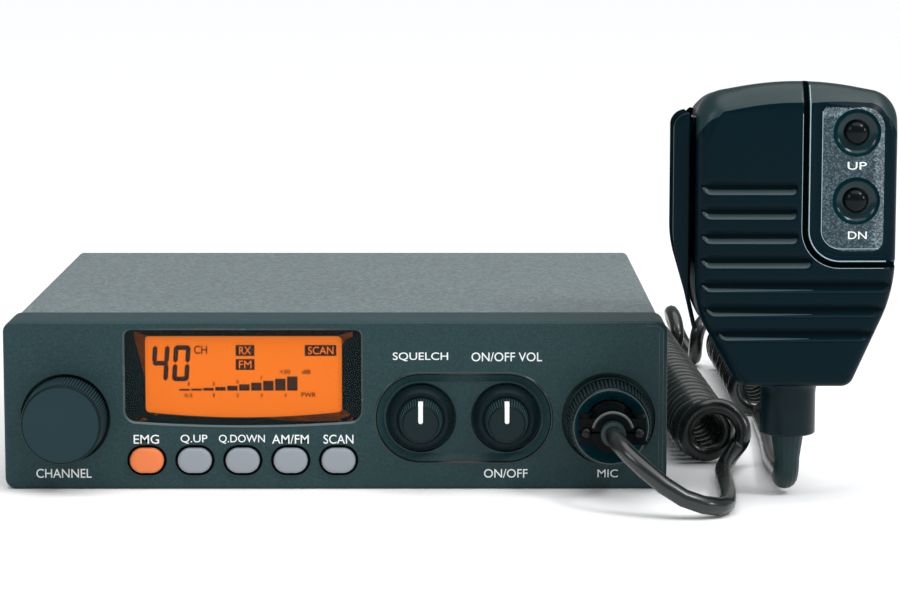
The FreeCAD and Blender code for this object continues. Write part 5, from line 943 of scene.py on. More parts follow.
@dataclass
class MicrophoneCord:
    """The curly cord from the plug, along the floor and back into the microphone."""

    diameter: float = 4.8
    plug_lead: tuple[Point3, ...] = (
        (74.1, -107.0, 19.3), (74.1, -116.0, 19.3), (81.5, -121.5, 12.5), (91.5, -124.0, 5.0), (101.8, -122.0, 2.6),
        (104.2, -111.0, 2.6), (105.2, -95.0, 2.6), (105.8, -79.0, 2.6), (106.9, -64.0, 2.6))
    hand_lead: tuple[Point3, ...] = (
        (124.9, 8.0, 2.6), (124.0, -20.0, 2.6), (122.0, -45.0, 2.6), (121.3, -64.0, 3.2), (121.4, -76.0, 4.6),
        (121.4, -87.0, 4.6))
    radius: float = 6.7
    near: Point2 = (103.4, -49.0)
    heading: float = -1.7
    run: float = 174.0
    turns: float = 27.267
    bend_radius: float = 14.4
    bend: float = 182.3
    bend_turns: float = 3.0
    bend_swell: float = 1.5
    back_run: float = 95.0
    back_turns: float = 14.65
    start_angle: float = -60.0
    flare: float = 0.5
    flare_turns: float = 1.5
    flare_shift: float = 4.6
    flare_lift: float = 1.2
    floor_gap: float = 0.1
    steps: int = 16

    def axis(self, s: float) -> tuple[float, float, float]:
        """Place and heading of the curls' axis at a distance from its near end.

        Args:
            s: the distance along the axis.

        Returns:
            X, Y and the heading in radians.
        """
        heading = math.radians(self.heading)
        bend = math.radians(self.bend)
        x = self.near[0] + min(s, self.run) * math.sin(heading)
        y = self.near[1] + min(s, self.run) * math.cos(heading)
        swung = min(max(0.0, s - self.run) / self.bend_radius, bend)
        x += self.bend_radius * (math.cos(heading) - math.cos(heading + swung))
        y += self.bend_radius * (math.sin(heading + swung) - math.sin(heading))
        rest = max(0.0, s - self.run - self.bend_radius * bend)
        heading += swung
        return x + rest * math.sin(heading), y + rest * math.cos(heading), heading

    def distance(self, turn: float) -> float:
        """How far along the axis the wire has come after a number of turns.

        Args:
            turn: turns from the near end.

        Returns:
            The distance in millimetres.
        """
        near = min(turn, self.turns) / self.turns * self.run
        share = min(max(0.0, turn - self.turns) / self.bend_turns, 1.0)
        bend = share * self.bend_radius * math.radians(self.bend)
        return near + bend + max(0.0, turn - self.turns - self.bend_turns) / self.back_turns * self.back_run

    def curl(self, turn: float) -> Point3:
        """The wire's centre after a number of turns.

        Args:
            turn: turns from the near end.

        Returns:
            The point in millimetres.
        """
        x, y, heading = self.axis(self.distance(turn))
        loose = max(0.0, 1.0 - turn / self.flare_turns) ** 2
        bent = (turn - self.turns) / self.bend_turns
        swell = math.sin(math.pi * bent) ** 2 if 0 < bent < 1 else 0.0
        radius = self.radius + self.flare * loose + self.bend_swell * swell
        angle = math.radians(self.start_angle) + FULL_TURN * turn
        across = radius * math.cos(angle) + self.flare_shift * loose
        rise = radius + self.diameter / 2 + self.floor_gap + self.flare_lift * loose
        return x + across * math.cos(heading), y - across * math.sin(heading), rise + radius * math.sin(angle)

    def route(self) -> list[Point3]:
        """The control points from the plug to the microphone.

        Returns:
            The points in millimetres.
        """
        total = self.turns + self.bend_turns + self.back_turns
        count = round(total * self.steps)
        curls = [self.curl(total * i / count) for i in range(count + 1)]
        return [*self.plug_lead, *curls, *self.hand_lead]

    def build(self) -> None:
        data = bpy.data.curves.new("microphone_cord", "CURVE")
        data.dimensions = "3D"
        spline = data.splines.new("NURBS")
        points = self.route()
        spline.points.add(len(points) - 1)
        for point, place in zip(spline.points, points):
            point.co = (*[c * MM for c in place], 1.0)
            point.radius = self.diameter / 2 * MM
        spline.order_u = 3
        spline.use_endpoint_u = True
        spline.resolution_u = 2
        data.bevel_depth = 1.0
        data.bevel_resolution = 3
        data.use_fill_caps = True
        data.materials.append(CORD.material())
        made = in_scene("microphone_cord", data)
        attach(made, SET_BODY)
        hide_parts("cord_plug_lead", "cord_curls", "cord_hand_lead")
        length = self.measured(data)
        LOG.info("cord length %.3f m", length)

    @staticmethod
    def measured(data: bpy.types.Curve) -> float:
        """The length of the spline's own line, in metres.

        Args:
            data: the cord's curve, which stays as it is.

        Returns:
            The length.
        """
        depth, data.bevel_depth = data.bevel_depth, 0.0
        spots = np.array([v.co for v in plain_mesh(in_scene("holder", data)).vertices])
        data.bevel_depth = depth
        return float(np.linalg.norm(np.diff(spots, axis=0), axis=1).sum())


def node_object(name: str) -> bpy.types.Object:
    """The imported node's object."""
    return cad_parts[name]


@dataclass
class FrontPanel:
    """The painted highlight and painted shade beads, the recess lip, and the lettering of the moulded front."""

    window: tuple[float, float, float, float] = (-57.6, 7.5, 18.3, 44.1)
    bow: float = 1.3
    recess: tuple[float, float] = (48.0, 24.6)

    def window_outline(self, inset: float = 0.0) -> list[Point2]:
        """The display window's outline, its foot bowed down in the middle.

        Args:
            inset: how far the outline is drawn in.

        Returns:
            Points round it, anticlockwise.
        """
        left, right, foot, top = self.window
        points = rounded([(left, foot, 3.2), (right, foot, 3.2), (right, top, 2.2), (left, top, 2.2)])
        middle, half = (left + right) / 2, (right - left) / 2
        bowed = []
        for x, z in points:
            sag = self.bow * (1 - ((x - middle) / half) ** 2) if z < foot + 3 else 0.0
            weight = min(1.0, max(0.0, (foot + 3 - z) / 3))
            bowed.append((x, z - sag * weight))
        return drawn_in(bowed, inset) if inset else bowed

    def build(self) -> None:
        """Add the window's painted highlight edge and painted shade sleeve, the recess lip, painted highlight lines on
        the right edge, and the words by the controls.
        """
        # Painted highlight: a light band round the window's edge.
        band = [(-0.02, FRONT_Y - 0.03), (0.5, FRONT_Y + 0.55), (0.0, FRONT_Y + 0.55)]
        mesh = stacked(self.window_outline(), band, caps=False, loop=True)
        piece("window_edge", mesh, EDGE_HIGHLIGHT)
        # Painted shade: a dark wall inside the window.
        sleeve = [(0.1, FRONT_Y + 0.4), (0.1, FRONT_Y + 2.3), (0.2, FRONT_Y + 2.3), (0.2, FRONT_Y + 0.4)]
        mesh = stacked(self.window_outline(), sleeve, caps=False, loop=True)
        piece("window_sleeve", mesh, SHADE_WELL)
        lip = [(-0.4, FRONT_Y + 0.05), (-0.25, FRONT_Y - 0.12), (0.05, FRONT_Y - 0.16), (0.35, FRONT_Y),
               (0.5, FRONT_Y + 0.35), (0.3, FRONT_Y + 0.5)]
        middle = (SQUELCH_X + VOLUME_X) / 2
        outline = rounded(rectangle(middle, DIAL_Z, *self.recess, self.recess[1] / 2 - 1e-6))
        mesh = stacked(outline, lip, caps=False, loop=True)
        piece("recess_lip", mesh, RECESS, angle=60.0)
        # Painted highlight: light lines along the panel's right edge and its top right corner.
        y = FRONT_Y - 0.02
        corner = [(86.6 + 2.2 * math.sin(a), y, 42.6 + 2.2 * math.cos(a)) for a in angles(QUARTER_TURN, 8)]
        path = [(84.0, y, 44.8), *corner, (88.8, y, 30.0), (88.8, y, 2.5)]
        inner = [(87.75, y, 43.0), (87.75, y, 22.0), (87.75, y, 2.5)]
        lines = joined([bead(path, 0.12), bead(inner, 0.1)])
        piece("panel_edge_line", lines, EDGE_HIGHLIGHT, angle=60.0)
        for words in self.words():
            words.build()

    def words(self) -> list[Words]:
        """The function words, each where the photograph has it.

        Returns:
            The lines of lettering.
        """
        low, high = 12.5, 35.13
        return [
            Words("label_emergency", "EMG", -54.87, 6.9, low, 2.5),
            Words("label_quick_up", "Q.UP", -42.13, 7.3, low, 2.5),
            Words("label_quick_down", "Q.DOWN", -31.72, 12.5, low, 2.5),
            Words("label_mode", "AM/FM", -17.3, 10.0, low, 2.5),
            Words("label_scan", "SCAN", -3.31, 8.15, low, 2.5),
            Words("label_channel", "CHANNEL", -81.46, 15.05, 3.1, 2.5),
            Words("label_squelch", "SQUELCH", 15.55, 15.0, high, 2.45),
            Words("label_volume", "ON/OFF VOL", 36.86, 19.1, high, 2.45),
            Words("label_switch", "ON/OFF", 40.29, 11.85, 3.11, 2.4),
            Words("label_microphone", "MIC", 71.2, 5.54, 3.2, 2.2),
        ]


@dataclass
class Display:
    """What the lit display shows."""

    front_y: float = -78.86
    digit_width: float = 4.6
    digit_height: float = 9.9
    bar: float = 1.3
    thick: float = 0.03
    slant: float = 0.07

    SEGMENTS = {"4": "bcfg", "0": "abcdef"}

    def digit(self, character: str, left: float, foot: float) -> list[bpy.types.Mesh]:
        """One seven segment figure.

        Args:
            character: the figure.
            left: its left edge.
            foot: its lower edge.

        Returns:
            Its lit segments.
        """
        w, h, t = self.digit_width, self.digit_height, self.bar
        gap = 0.1
        flat = {"a": h - t, "g": (h - t) / 2, "d": 0.0}
        upright = {"f": (0.0, h / 2), "b": (w - t, h / 2), "e": (0.0, 0.0), "c": (w - t, 0.0)}
        made = []
        for key in self.SEGMENTS[character]:
            if key in flat:
                z = flat[key]
                shape = [(gap + t / 2, z), (w - gap - t / 2, z), (w - gap, z + t / 2), (w - gap - t / 2, z + t),
                         (gap + t / 2, z + t), (gap, z + t / 2)]
            else:
                x, z = upright[key]
                top = z + h / 2
                shape = [(x + t / 2, z + gap), (x + t, z + gap + t / 2), (x + t, top - gap - t / 2),
                         (x + t / 2, top - gap), (x, top - gap - t / 2), (x, z + gap + t / 2)]
            leaned = [(left + a + self.slant * b, foot + b) for a, b in shape]
            made.append(stacked(leaned, [(0.0, self.front_y), (0.0, self.front_y + self.thick)]))
        return made

    def plate(self, left: float, right: float, foot: float, top: float) -> bpy.types.Mesh:
        """A flat dark box on the display.

        Args:
            left: its left edge.
            right: its right edge.
            foot: its lower edge.
            top: its upper edge.

        Returns:
            The box.
        """
        middle = ((left + right) / 2, (foot + top) / 2)
        outline = rounded(rectangle(*middle, right - left, top - foot, 0.15))
        return stacked(outline, [(0.0, self.front_y), (0.0, self.front_y + self.thick)])

    def build(self) -> None:
        """Draw the channel figures, the boxes, the meter and its small figures."""
        dark = self.digit("4", -50.3, 29.2) + self.digit("0", -44.6, 29.2)
        dark += [self.plate(-27.2, -22.05, 36.15, 39.15), self.plate(-27.2, -22.05, 32.3, 35.3)]
        dark.append(self.plate(-8.4, 0.2, 36.15, 39.15))
        piece("display_figures", joined(dark), SEGMENT)
        values = {"Count": 10, "Pitch": 3.26 * MM, "Width": 2.85 * MM, "Low": 0.5 * MM, "High": 3.4 * MM,
                  "Thickness": self.thick * MM, "Material": SEGMENT.material()}
        bars = grown(meter_bars(), bpy.data.meshes.new("start"), values)
        bars.transform(Matrix.Translation(Vector((-42.6, self.front_y, 26.6)) * MM))
        piece("display_meter", bars, SEGMENT)
        self.small_print()

    def small_print(self) -> None:
        """The small figures round the meter and the words in the boxes."""
        front = self.front_y - self.thick
        lit = [("RX", -26.2, 3.2, 36.6), ("FM", -26.3, 3.4, 32.75), ("SCAN", -7.5, 6.9, 36.6)]
        meshes = [Words(t, t, x, w, z, 2.1, y=front, finish=LIT, weight=0.0).mesh() for t, x, w, z in lit]
        piece("display_box_words", joined(meshes), LIT)
        row = [("CH", -38.5, 3.6, 36.7, 2.3), ("1", -40.2, 0.4, 28.0, 1.0), ("3", -33.6, 0.7, 28.0, 1.0),
               ("5", -27.1, 0.7, 28.6, 1.0), ("7", -20.6, 0.7, 29.6, 1.0), ("+30", -15.3, 2.9, 31.2, 1.2),
               ("dB", -9.2, 2.4, 31.2, 1.2), ("0.5", -41.2, 2.2, 24.8, 1.0), ("1", -33.4, 0.4, 24.8, 1.0),
               ("2", -27.1, 0.7, 24.8, 1.0), ("3", -20.6, 0.7, 24.8, 1.0), ("4", -14.1, 0.7, 24.8, 1.0),
               ("PWR", -9.4, 4.0, 24.8, 1.3)]
        meshes = [Words("figure", t, x, w, z, h, y=self.front_y, finish=FAINT, weight=0.015).mesh()
                  for t, x, w, z, h in row]
        piece("display_small_figures", joined(meshes), FAINT)


@dataclass
class PushKeys:
    """The five buttons under the display."""

    pitch: float = 13.02
    first_x: float = -51.3
    width: float = 9.2
    height: float = 6.8
    proud: float = 1.7

    NAMES = (("emergency", ORANGE_KEY), ("channel_up", GREY_KEY), ("channel_down", GREY_KEY), ("mode", GREY_KEY),
             ("scan", GREY_KEY))

    def build(self) -> None:
        """Make each cap with soft edges, on its own body."""
        front = FRONT_Y - self.proud
        levels = [(0.0, FRONT_Y + 2.4), (0.0, front + 0.95), (0.05, front + 0.62), (0.2, front + 0.34),
                  (0.45, front + 0.16), (0.8, front + 0.06), (1.3, front + 0.015), (2.2, front), (3.3, front)]
        for i, (name, finish) in enumerate(self.NAMES):
            piece(f"{name}_cap", stacked(self.outline(i), levels), finish, f"{name}_key", 60.0,
                  node=f"{name}_button")
        self.wells()

    def outline(self, number: int) -> list[Point2]:
        """The outline of one cap, by its number from the left."""
        x = self.first_x + self.pitch * number
        return rounded(rectangle(x, KEY_Z, self.width, self.height, self.height / 2 - 1e-6), 0.35)

    def wells(self) -> None:
        """Painted shade: a dark ring round each cap, on the panel face, where the gap's shade falls."""
        levels = [(-0.12, FRONT_Y + 0.3), (-0.12, FRONT_Y - 0.02), (-0.75, FRONT_Y - 0.04), (-0.9, FRONT_Y + 0.3)]
        rings = [stacked(self.outline(i), levels, caps=False, loop=True) for i in range(len(self.NAMES))]
        piece("key_wells", joined(rings), SHADE_WELL)


@dataclass
class DialKnob:
    """A turned knob with ribs round its cap and a plain face."""

    name: str
    node: str
    body: str
    x: float
    profile: tuple[Point2, ...]
    face: Point2
    face_finish: Finish
    rib_count: int
    rib_front: Point2
    rib_back: Point2
    rib_depth: float = 0.5
    pointer: str = ""

    MARK_HALF = 0.62
    MARK_ENDS = (0.7, 4.7)

    def build(self) -> None:
        """Turn the knob, set its ribs and its face, and let it stand for its node."""
        cap = turned(self.profile, self.x, DIAL_Z)
        piece(self.name, cap, KNOB, self.body, 28.0, node=self.node)
        piece(f"{self.name}_ribs", self.ribs(), RIB_HIGHLIGHT, self.body, 28.0)
        radius, y = self.face
        disc = turned(((0.0, y), (radius, y), (radius, y + 0.12), (0.0, y + 0.12)), self.x, DIAL_Z)
        piece(f"{self.name}_face", disc, self.face_finish, self.body)
        if self.pointer:
            piece(f"{self.name}_pointer", self.mark(), POINTER, self.body, node=self.pointer)

    def ribs(self) -> bpy.types.Mesh:
        """The ribs round the cap, from its front edge to its foot, coloured lighter than the cap as painted highlights
        on their crests.

        Returns:
            The ribs in one mesh.
        """
        (r0, y0), (r1, y1) = self.rib_front, self.rib_back
        radius = (r0 + r1) / 2
        length = math.hypot(r1 - r0, y1 - y0)
        width = FULL_TURN * radius / self.rib_count * 0.5
        values = {"Count": self.rib_count, "Radius": radius * MM, "Width": width * MM, "Depth": self.rib_depth * MM,
                  "Length": length * MM, "Lean": -math.atan2(r1 - r0, y1 - y0), "Material": RIB_HIGHLIGHT.material()}
        made = grown(ribs_round(), bpy.data.meshes.new("start"), values)
        place = Matrix.Translation(Vector((self.x, (y0 + y1) / 2, DIAL_Z)) * MM)
        made.transform(place @ Matrix.Rotation(QUARTER_TURN, 4, "X"))
        return made

    def mark(self) -> bpy.types.Mesh:
        """The white line over the face and down the side of the cap.

        Returns:
            The line in one mesh.
        """
        half, y = self.MARK_HALF, self.face[1]
        foot, top = (DIAL_Z + z for z in self.MARK_ENDS)
        round_end = [(half * math.cos(a), -half * math.sin(a)) for a in angles(HALF_TURN, 10)]
        outline = [(self.x + x, foot + z) for x, z in round_end]
        outline += [(self.x - half, top), (self.x + half, top)]
        front = stacked(outline[::-1], [(0.0, y + 0.05), (0.0, y - 0.2), (0.06, y - 0.26)])
        side = [(y - 0.26, 4.6), (y - 0.2, 4.95), (y + 0.1, 5.3), (y + 0.7, 5.55), (y + 2.6, 5.78), (y + 2.6, 5.2),
                (y + 0.7, 4.6)]
        rings = [[(self.x + across, ahead, DIAL_Z + up) for ahead, up in side] for across in (-half, half)]
        return joined([front, rings_mesh(rings)])


def dials() -> list[DialKnob]:
    """The channel dial and the pair in the long recess.

    Returns:
        The three dials.
    """
    channel = ((0.0, -92.95), (10.25, -92.95), (10.5, -92.88), (10.68, -92.7), (10.78, -92.3), (11.1, -84.0),
               (11.2, -79.0), (0.0, -79.0))
    made = [DialKnob("channel_dial_cap", "channel_knob", "channel_dial", CHANNEL_X, channel, (10.2, -93.0), DISC, 88,
                     (10.75, -92.2), (11.15, -79.4), 0.42)]
    cap = ((0.0, -91.45), (4.5, -91.45), (4.75, -91.4), (4.92, -91.2), (5.15, -90.6), (5.7, -84.9), (6.0, -84.35),
           (6.6, -84.5), (7.4, -84.3), (8.1, -83.6), (8.6, -82.6), (8.9, -81.4), (9.0, -80.2), (9.0, -79.2),
           (0.0, -79.2))
    for name, x in (("squelch", SQUELCH_X), ("volume", VOLUME_X)):
        made.append(DialKnob(f"{name}_dial_cap", f"{name}_knob", f"{name}_dial", x, cap, (4.55, -91.5), SMALL_DISC, 48,
                             (5.1, -90.8), (5.75, -85.0), 0.34, pointer=f"{name}_pointer"))
    return made


@dataclass
class PlugRing:
    """The knurled ring that screws the plug on, with its hollow front."""

    ribs: int = 64

    def build(self) -> None:
        """Turn the ring and its hollow, set the knurl, coloured lighter than the ring as painted highlights on its
        ribs, and add the painted highlight rims.
        """
        outer = ((6.9, -91.4), (9.65, -94.75), (9.85, -94.95), (10.2, -95.0), (10.5, -94.7), (10.55, -94.2),
                 (11.35, -81.6), (11.1, -80.7), (8.3, -80.7), (8.3, -90.8), (6.9, -90.8))
        values = {"Count": self.ribs, "Radius": 10.88 * MM, "Width": 0.5 * MM, "Depth": 0.5 * MM, "Length": 8.6 * MM,
                  "Lean": -math.atan2(0.75, 12.0), "Material": KNURL_HIGHLIGHT.material()}
        knurl = grown(ribs_round(), bpy.data.meshes.new("start"), values)
        knurl.transform(Matrix.Translation(Vector((MIC_X, -89.4, MIC_Z)) * MM) @ Matrix.Rotation(QUARTER_TURN, 4, "X"))
        piece("plug_ring_knurl", knurl, KNURL_HIGHLIGHT, "plug_coupling", 30.0)
        body = turned(outer, MIC_X, MIC_Z)
        piece("plug_ring_body", body, RING, "plug_coupling", 30.0, node="plug_ring")
        hollow = ((6.95, -91.42), (9.62, -94.77), (9.55, -94.8), (6.9, -91.5))
        piece("plug_hollow", turned(hollow, MIC_X, MIC_Z), CONE, "plug_coupling", 30.0)
        # Painted highlight: light rings on the ring's front lip and near its back.
        rim = ((9.72, -94.78), (9.82, -94.98), (9.98, -95.06), (10.14, -94.98), (10.0, -94.8))
        back = ((11.3, -83.2), (11.42, -83.3), (11.5, -83.1), (11.42, -82.9), (11.3, -82.9))
        rims = joined([turned(rim, MIC_X, MIC_Z), turned(back, MIC_X, MIC_Z)])
        piece("plug_rim", rims, EDGE_HIGHLIGHT, "plug_coupling", 60.0)
        self.clamp_screws()

    @staticmethod
    def clamp_screws() -> None:
        """The two screws of the cord clamp, and a painted highlight: a light arc along the top of its collar."""
        head = ((0.0, -104.25), (0.5, -104.22), (0.95, -104.05), (1.2, -103.75), (1.25, -103.4), (0.0, -103.4))
        heads = [turned(head, MIC_X + side, MIC_Z - 0.1, 24) for side in (-7.0, 7.0)]
        piece("clamp_screw_heads", joined(heads), BLACK_STEEL, angle=40.0)
        arc = [(MIC_X + 5.35 * math.cos(a), -103.5, MIC_Z + 5.35 * math.sin(a)) for a in
               (math.radians(14 + 152 * k / 24) for k in range(25))]
        piece("clamp_collar_edge", bead(arc, 0.42), ARCH_HIGHLIGHT, angle=60.0)


@dataclass
class HandCase:
    """The microphone's moulded front: soft edges, stepped louvres, a groove and the finger field."""

    groove_left: float = 1.6
    groove_foot: float = 63.6
    groove_corner: float = 10.0
    groove_width: float = 1.7
    louvre_first: float = 84.4
    louvre_pitch: float = 6.43
    louvre_count: int = 7
    dish: float = 6.6
    crown: float = 5.3
    grid: float = 0.46

    PACKED = ((-25.9, 108.6, 8.0), (0.0, 113.6, 80.0), (25.9, 108.6, 8.0), (25.6, 56.0, 35.0), (14.2, 31.8, 3.6),
              (-14.2, 31.8, 3.6), (-25.6, 56.0, 35.0))
    OUTLINE = ((-25.9, 108.6, 8.0), (0.0, 113.6, 80.0), (26.5, 108.6, 8.0), (26.5, 57.5, 40.0), (15.0, 31.8, 3.6),
               (-14.2, 31.8, 3.6), (-25.9, 52.2, 26.0))
    FIELD_OUTLINE = ((6.6, 68.0, 6.5), (22.8, 68.0, 3.0), (22.8, 105.2, 5.5), (6.6, 106.6, 2.5))
    LOUVRE_T = (-1.75, -1.55, -0.4, -0.1, 0.2, 0.85, 1.9, 2.25)
    LOUVRE_D = (0.0, 0.1, 1.3, 1.45, 1.42, 1.05, 0.28, 0.0)
    ENDS = (0.3, 0.3, 0.6, 4.2)
    DISH_R = (0.0, 3.35, 3.45, 3.9, 4.8, 5.5, 6.0, 6.25, 6.6)
    DISH_D = (2.9, 2.9, 1.72, 1.7, 1.48, 1.02, 0.5, 0.1, 0.18)

    def __post_init__(self) -> None:
        """Sample the case's outline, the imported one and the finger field's."""
        self.border = np.array(self.outline())
        self.packed = np.array(rounded(self.PACKED, 0.5))
        self.field = np.array(rounded(self.FIELD_OUTLINE, 0.5))

    def outline(self) -> list[Point2]:
        """The case's outline seen from the front, anticlockwise, about the case's own middle line."""
        return list(reversed(rounded(self.OUTLINE, 0.5)))

    def louvre(self, number: int) -> float:
        """The height of one louvre, by its number from the top."""
        return self.louvre_first - self.louvre_pitch * number

    def groove_gap(self, x: np.ndarray, z: np.ndarray) -> np.ndarray:
        """How far inside the groove's outer edge each point lies; negative outside it.

        Args:
            x: across, from the case's middle line.
            z: height.

        Returns:
            Distances in millimetres.
        """
        dx, dz = x - self.groove_left, z - self.groove_foot
        r = self.groove_corner
        corner = r - np.hypot(r - dx, r - dz)
        return np.where((dx < r) & (dz < r), corner, np.minimum(dx, dz))

    @staticmethod
    def sink(y: np.ndarray | float, z: np.ndarray) -> np.ndarray:
        """How far the case's top slopes down behind its front edge."""
        rise = np.clip((z - 100.0) / 8.0, 0, 1)
        return np.clip(0.08 * (np.asarray(y) + 103.0), 0, 2.2) * rise * rise * (3 - 2 * rise)

    def lit_crown_reach(self, x: np.ndarray, z: np.ndarray) -> np.ndarray:
        """How far in from the outline the lit crown band reaches, by the place on the outline; the band is painted
        lighter as light from above.
        """
        rise = np.clip((z - 97.0) / 9.0, 0, 1)
        return self.crown * rise * rise * (3 - 2 * rise) * (1 - 0.4 * np.clip((x - 4.0) / 16.0, 0, 1))

    def depth(self, x: np.ndarray, z: np.ndarray, edge: np.ndarray) -> np.ndarray:
        """How far each point of the front lies behind the foremost plane.

        Args:
            x: across, from the case's middle line.
            z: height.
            edge: distance to the outline.

        Returns:
            Depths in millimetres.
        """
        top = np.clip((z - 97.0) / 11.0, 0, 1)
        left = np.clip((-x - 12.0) / 8.0, 0, 1)
        radius = 3.4 + 1.3 * left - 1.2 * top
        inner = np.clip(radius - edge, 0, None)
        rim = radius - np.sqrt(np.clip(radius ** 2 - inner ** 2, 0, None))
        crown = 5.6 - edge
        rim += 0.32 * top * top * (3 - 2 * top) * (crown + np.sqrt(crown ** 2 + 0.35))
        base = 0.25 * (x / 26.0) ** 2
        cut = np.zeros_like(x)
        for i in range(self.louvre_count):
            step = np.interp(z - self.louvre(i), self.LOUVRE_T, self.LOUVRE_D)
            if i < len(self.ENDS):
                fade = np.clip((self.ENDS[i] - x) / 1.3, 0, 1)
                step = step * np.sqrt(1 - (1 - fade) ** 2)
            cut = np.maximum(cut, step)
        gap = self.groove_gap(x, z)
        w = self.groove_width
        trench = np.interp(gap, (-0.25, 0.0, 0.3, w - 0.35, w), (0.0, 0.12, 1.3, 1.3, 0.0))
        shelf = np.interp(gap, (w, w + 0.9, w + 1.7), (0.0, 0.05, 0.42))
        keyed = np.interp(gap_inside(self.field, x, z), (-0.35, 0.1), (0.0, 1.0))
        cut = np.where(gap > -0.25, shelf * (1 - keyed) + 0.18 * keyed, cut)
        for spot in THUMB_Z:
            r = np.hypot(x - THUMB_X, z - spot)
            cut = np.where(r < 6.9, np.interp(r, self.DISH_R, self.DISH_D), cut)
        return np.maximum(rim, cut + base) + trench

    def rows(self) -> list[float]:
        """Heights of the grid's rows, one on every edge of every louvre.

        Returns:
            The heights, upwards.
        """
        marks = [31.0, 114.0]
        for i in range(self.louvre_count):
            marks += [self.louvre(i) + t for t in self.LOUVRE_T]
        marks.sort()
        made = []
        for low, high in zip(marks, marks[1:]):
            parts = max(1, math.ceil((high - low) / self.grid))
            made += [low + (high - low) * k / parts for k in range(parts)]
        return made

    def lines(self) -> list[tuple[list[Point2], bool]]:
        """The curves that the mesh has to follow, each with whether it is closed.

        Returns:
            The curves.
        """
        made: list[tuple[list[Point2], bool]] = []
        far_x, far_z = 23.6, 111.7
        for gap in (-0.25, 0.0, 0.3, 1.35, 1.7):
            left, foot, r = self.groove_left + gap, self.groove_foot + gap, self.groove_corner - gap
            arc = [(left + r - r * math.cos(a), foot + r - r * math.sin(a)) for a in angles(QUARTER_TURN, 24)]
            down = [(left, far_z - k * 0.6) for k in range(int((far_z - foot - r) / 0.6))]
            along = [(left + r + k * 0.6, foot) for k in range(1, int((far_x - left - r) / 0.6))]
            made.append((down + arc + along, False))
        made.append((list(rounded(self.FIELD_OUTLINE, 0.6)), True))
        for spot in THUMB_Z:
            for radius in self.DISH_R[1:]:
                made.append(([(THUMB_X + radius * math.cos(a), spot + radius * math.sin(a))
                              for a in angles(FULL_TURN, 48)[:-1]], True))
        ahead = np.array(drawn_in(self.outline(), 1.0)) - self.border
        reach = self.lit_crown_reach(self.border[:, 0], self.border[:, 1])
        band = [(float(x), float(z)) for (x, z), r in zip(self.border + ahead * reach[:, None], reach) if r > 0.3]
        band.sort(key=lambda p: math.atan2(p[1] - 90.0, p[0]))
        made.append((band, False))
        return made

    def build(self) -> None:
        """Mesh the front, its side wall and its half of the cord's collar."""
        outline = self.outline()
        points: list[Point2] = list(outline)
        edges = [(i, (i + 1) % len(outline)) for i in range(len(outline))]
        for inset in (0.2, 0.6, 1.2, 2.0, 2.9):
            points += drawn_in(outline, inset)
        followed = []
        for line, closed in self.lines():
            start = len(points)
            points += line
            edges += [(start + i, start + i + 1) for i in range(len(line) - 1)]
            if closed:
                edges.append((start + len(line) - 1, start))
            followed += line
        points += self.inner_grid(followed)
        made, _, faces, *_ = delaunay_2d_cdt([Vector(p) for p in points], edges, [], 1, 1e-5, False)
        x, z = np.array([(v.x, v.y) for v in made]).T
        deep = self.depth(x, z, np.abs(gap_inside(self.border, x, z)))
        spots = list(zip(HAND_X + x, HAND_FRONT_Y + deep, z))
        kinds = self.kinds(np.array([(x[list(f)].mean(), z[list(f)].mean()) for f in faces]))
        wall = self.wall(outline)
        dress = (("hand_front_case", HAND, "hand_front_shell"), ("hand_crown", LIT_CROWN, ""), ("hand_groove", SHADE_WELL, ""),
                 ("hand_slots", SHADE, ""), ("hand_finger_field", FIELD, "hand_key_panel"),
                 ("hand_field_edge", LIT_FIELD_EDGE, ""), ("hand_dishes", DISH, ""))
        for name, finish, node in dress:
            mesh = mesh_of(spots, [f for f, kind in zip(faces, kinds) if kind == name])
            self.drop_loose(mesh)
            if sum(p.normal.y * p.area for p in mesh.polygons) > 0:
                mesh.flip_normals()
            if name == "hand_front_case":
                mesh = joined([mesh, wall])
            piece(name, mesh, finish, angle=42.0, node=node)
        for name, mesh, finish, angle, node in (
                ("hand_rear_case", self.rear(), HAND, 42.0, "hand_rear_shell"),
                ("hand_steps", self.steps(), LIT_STEP, 60.0, ""), ("hand_collar", self.collar(), GLAND, 42.0, ""),
                ("hand_lips", self.lips(), LIP_HIGHLIGHT, 60.0, ""), ("hand_guard", self.guard(outline), SHADE, 35.0, "")):
            piece(name, mesh, finish, angle=angle, node=node)

    def inner_grid(self, followed: Sequence[Point2]) -> list[Point2]:
        """The front's inner points, clear of its edge, of its dishes and of the lines it follows.

        Args:
            followed: the points of those lines.

        Returns:
            The grid's points.
        """
        near = kdtree.KDTree(len(followed))
        for i, (x, z) in enumerate(followed):
            near.insert((x, z, 0.0), i)
        near.balance()
        across, up = np.meshgrid(np.arange(-25.9, 26.6, self.grid), self.rows())
        across, up = across.ravel(), up.ravel()
        clear = gap_inside(self.border, across, up) > 3.2
        for spot in THUMB_Z:
            clear &= np.hypot(across - THUMB_X, up - spot) > self.dish + 0.4
        return [(float(x), float(z)) for x, z in zip(across[clear], up[clear]) if near.find((x, z, 0.0))[2] > 0.24]

    def kinds(self, middles: np.ndarray) -> list[str]:
        """Which surface each face of the front belongs to.

        Args:
            middles: the faces' middles.

        Returns:
            For each face, the name of its piece.
        """
        x, z = middles.T
        edge = gap_inside(self.border, x, z)
        gap = self.groove_gap(x, z)
        field = gap_inside(self.field, x, z)
        made = np.full(len(x), "hand_front_case", dtype=object)
        for i in range(self.louvre_count):
            t = z - self.louvre(i)
            end = self.ENDS[i] - 0.15 if i < len(self.ENDS) else 30.0
            made[(t > -0.4) & (t < 0.85) & (x < end) & (edge > 1.4) & (gap < -0.3)] = "hand_slots"
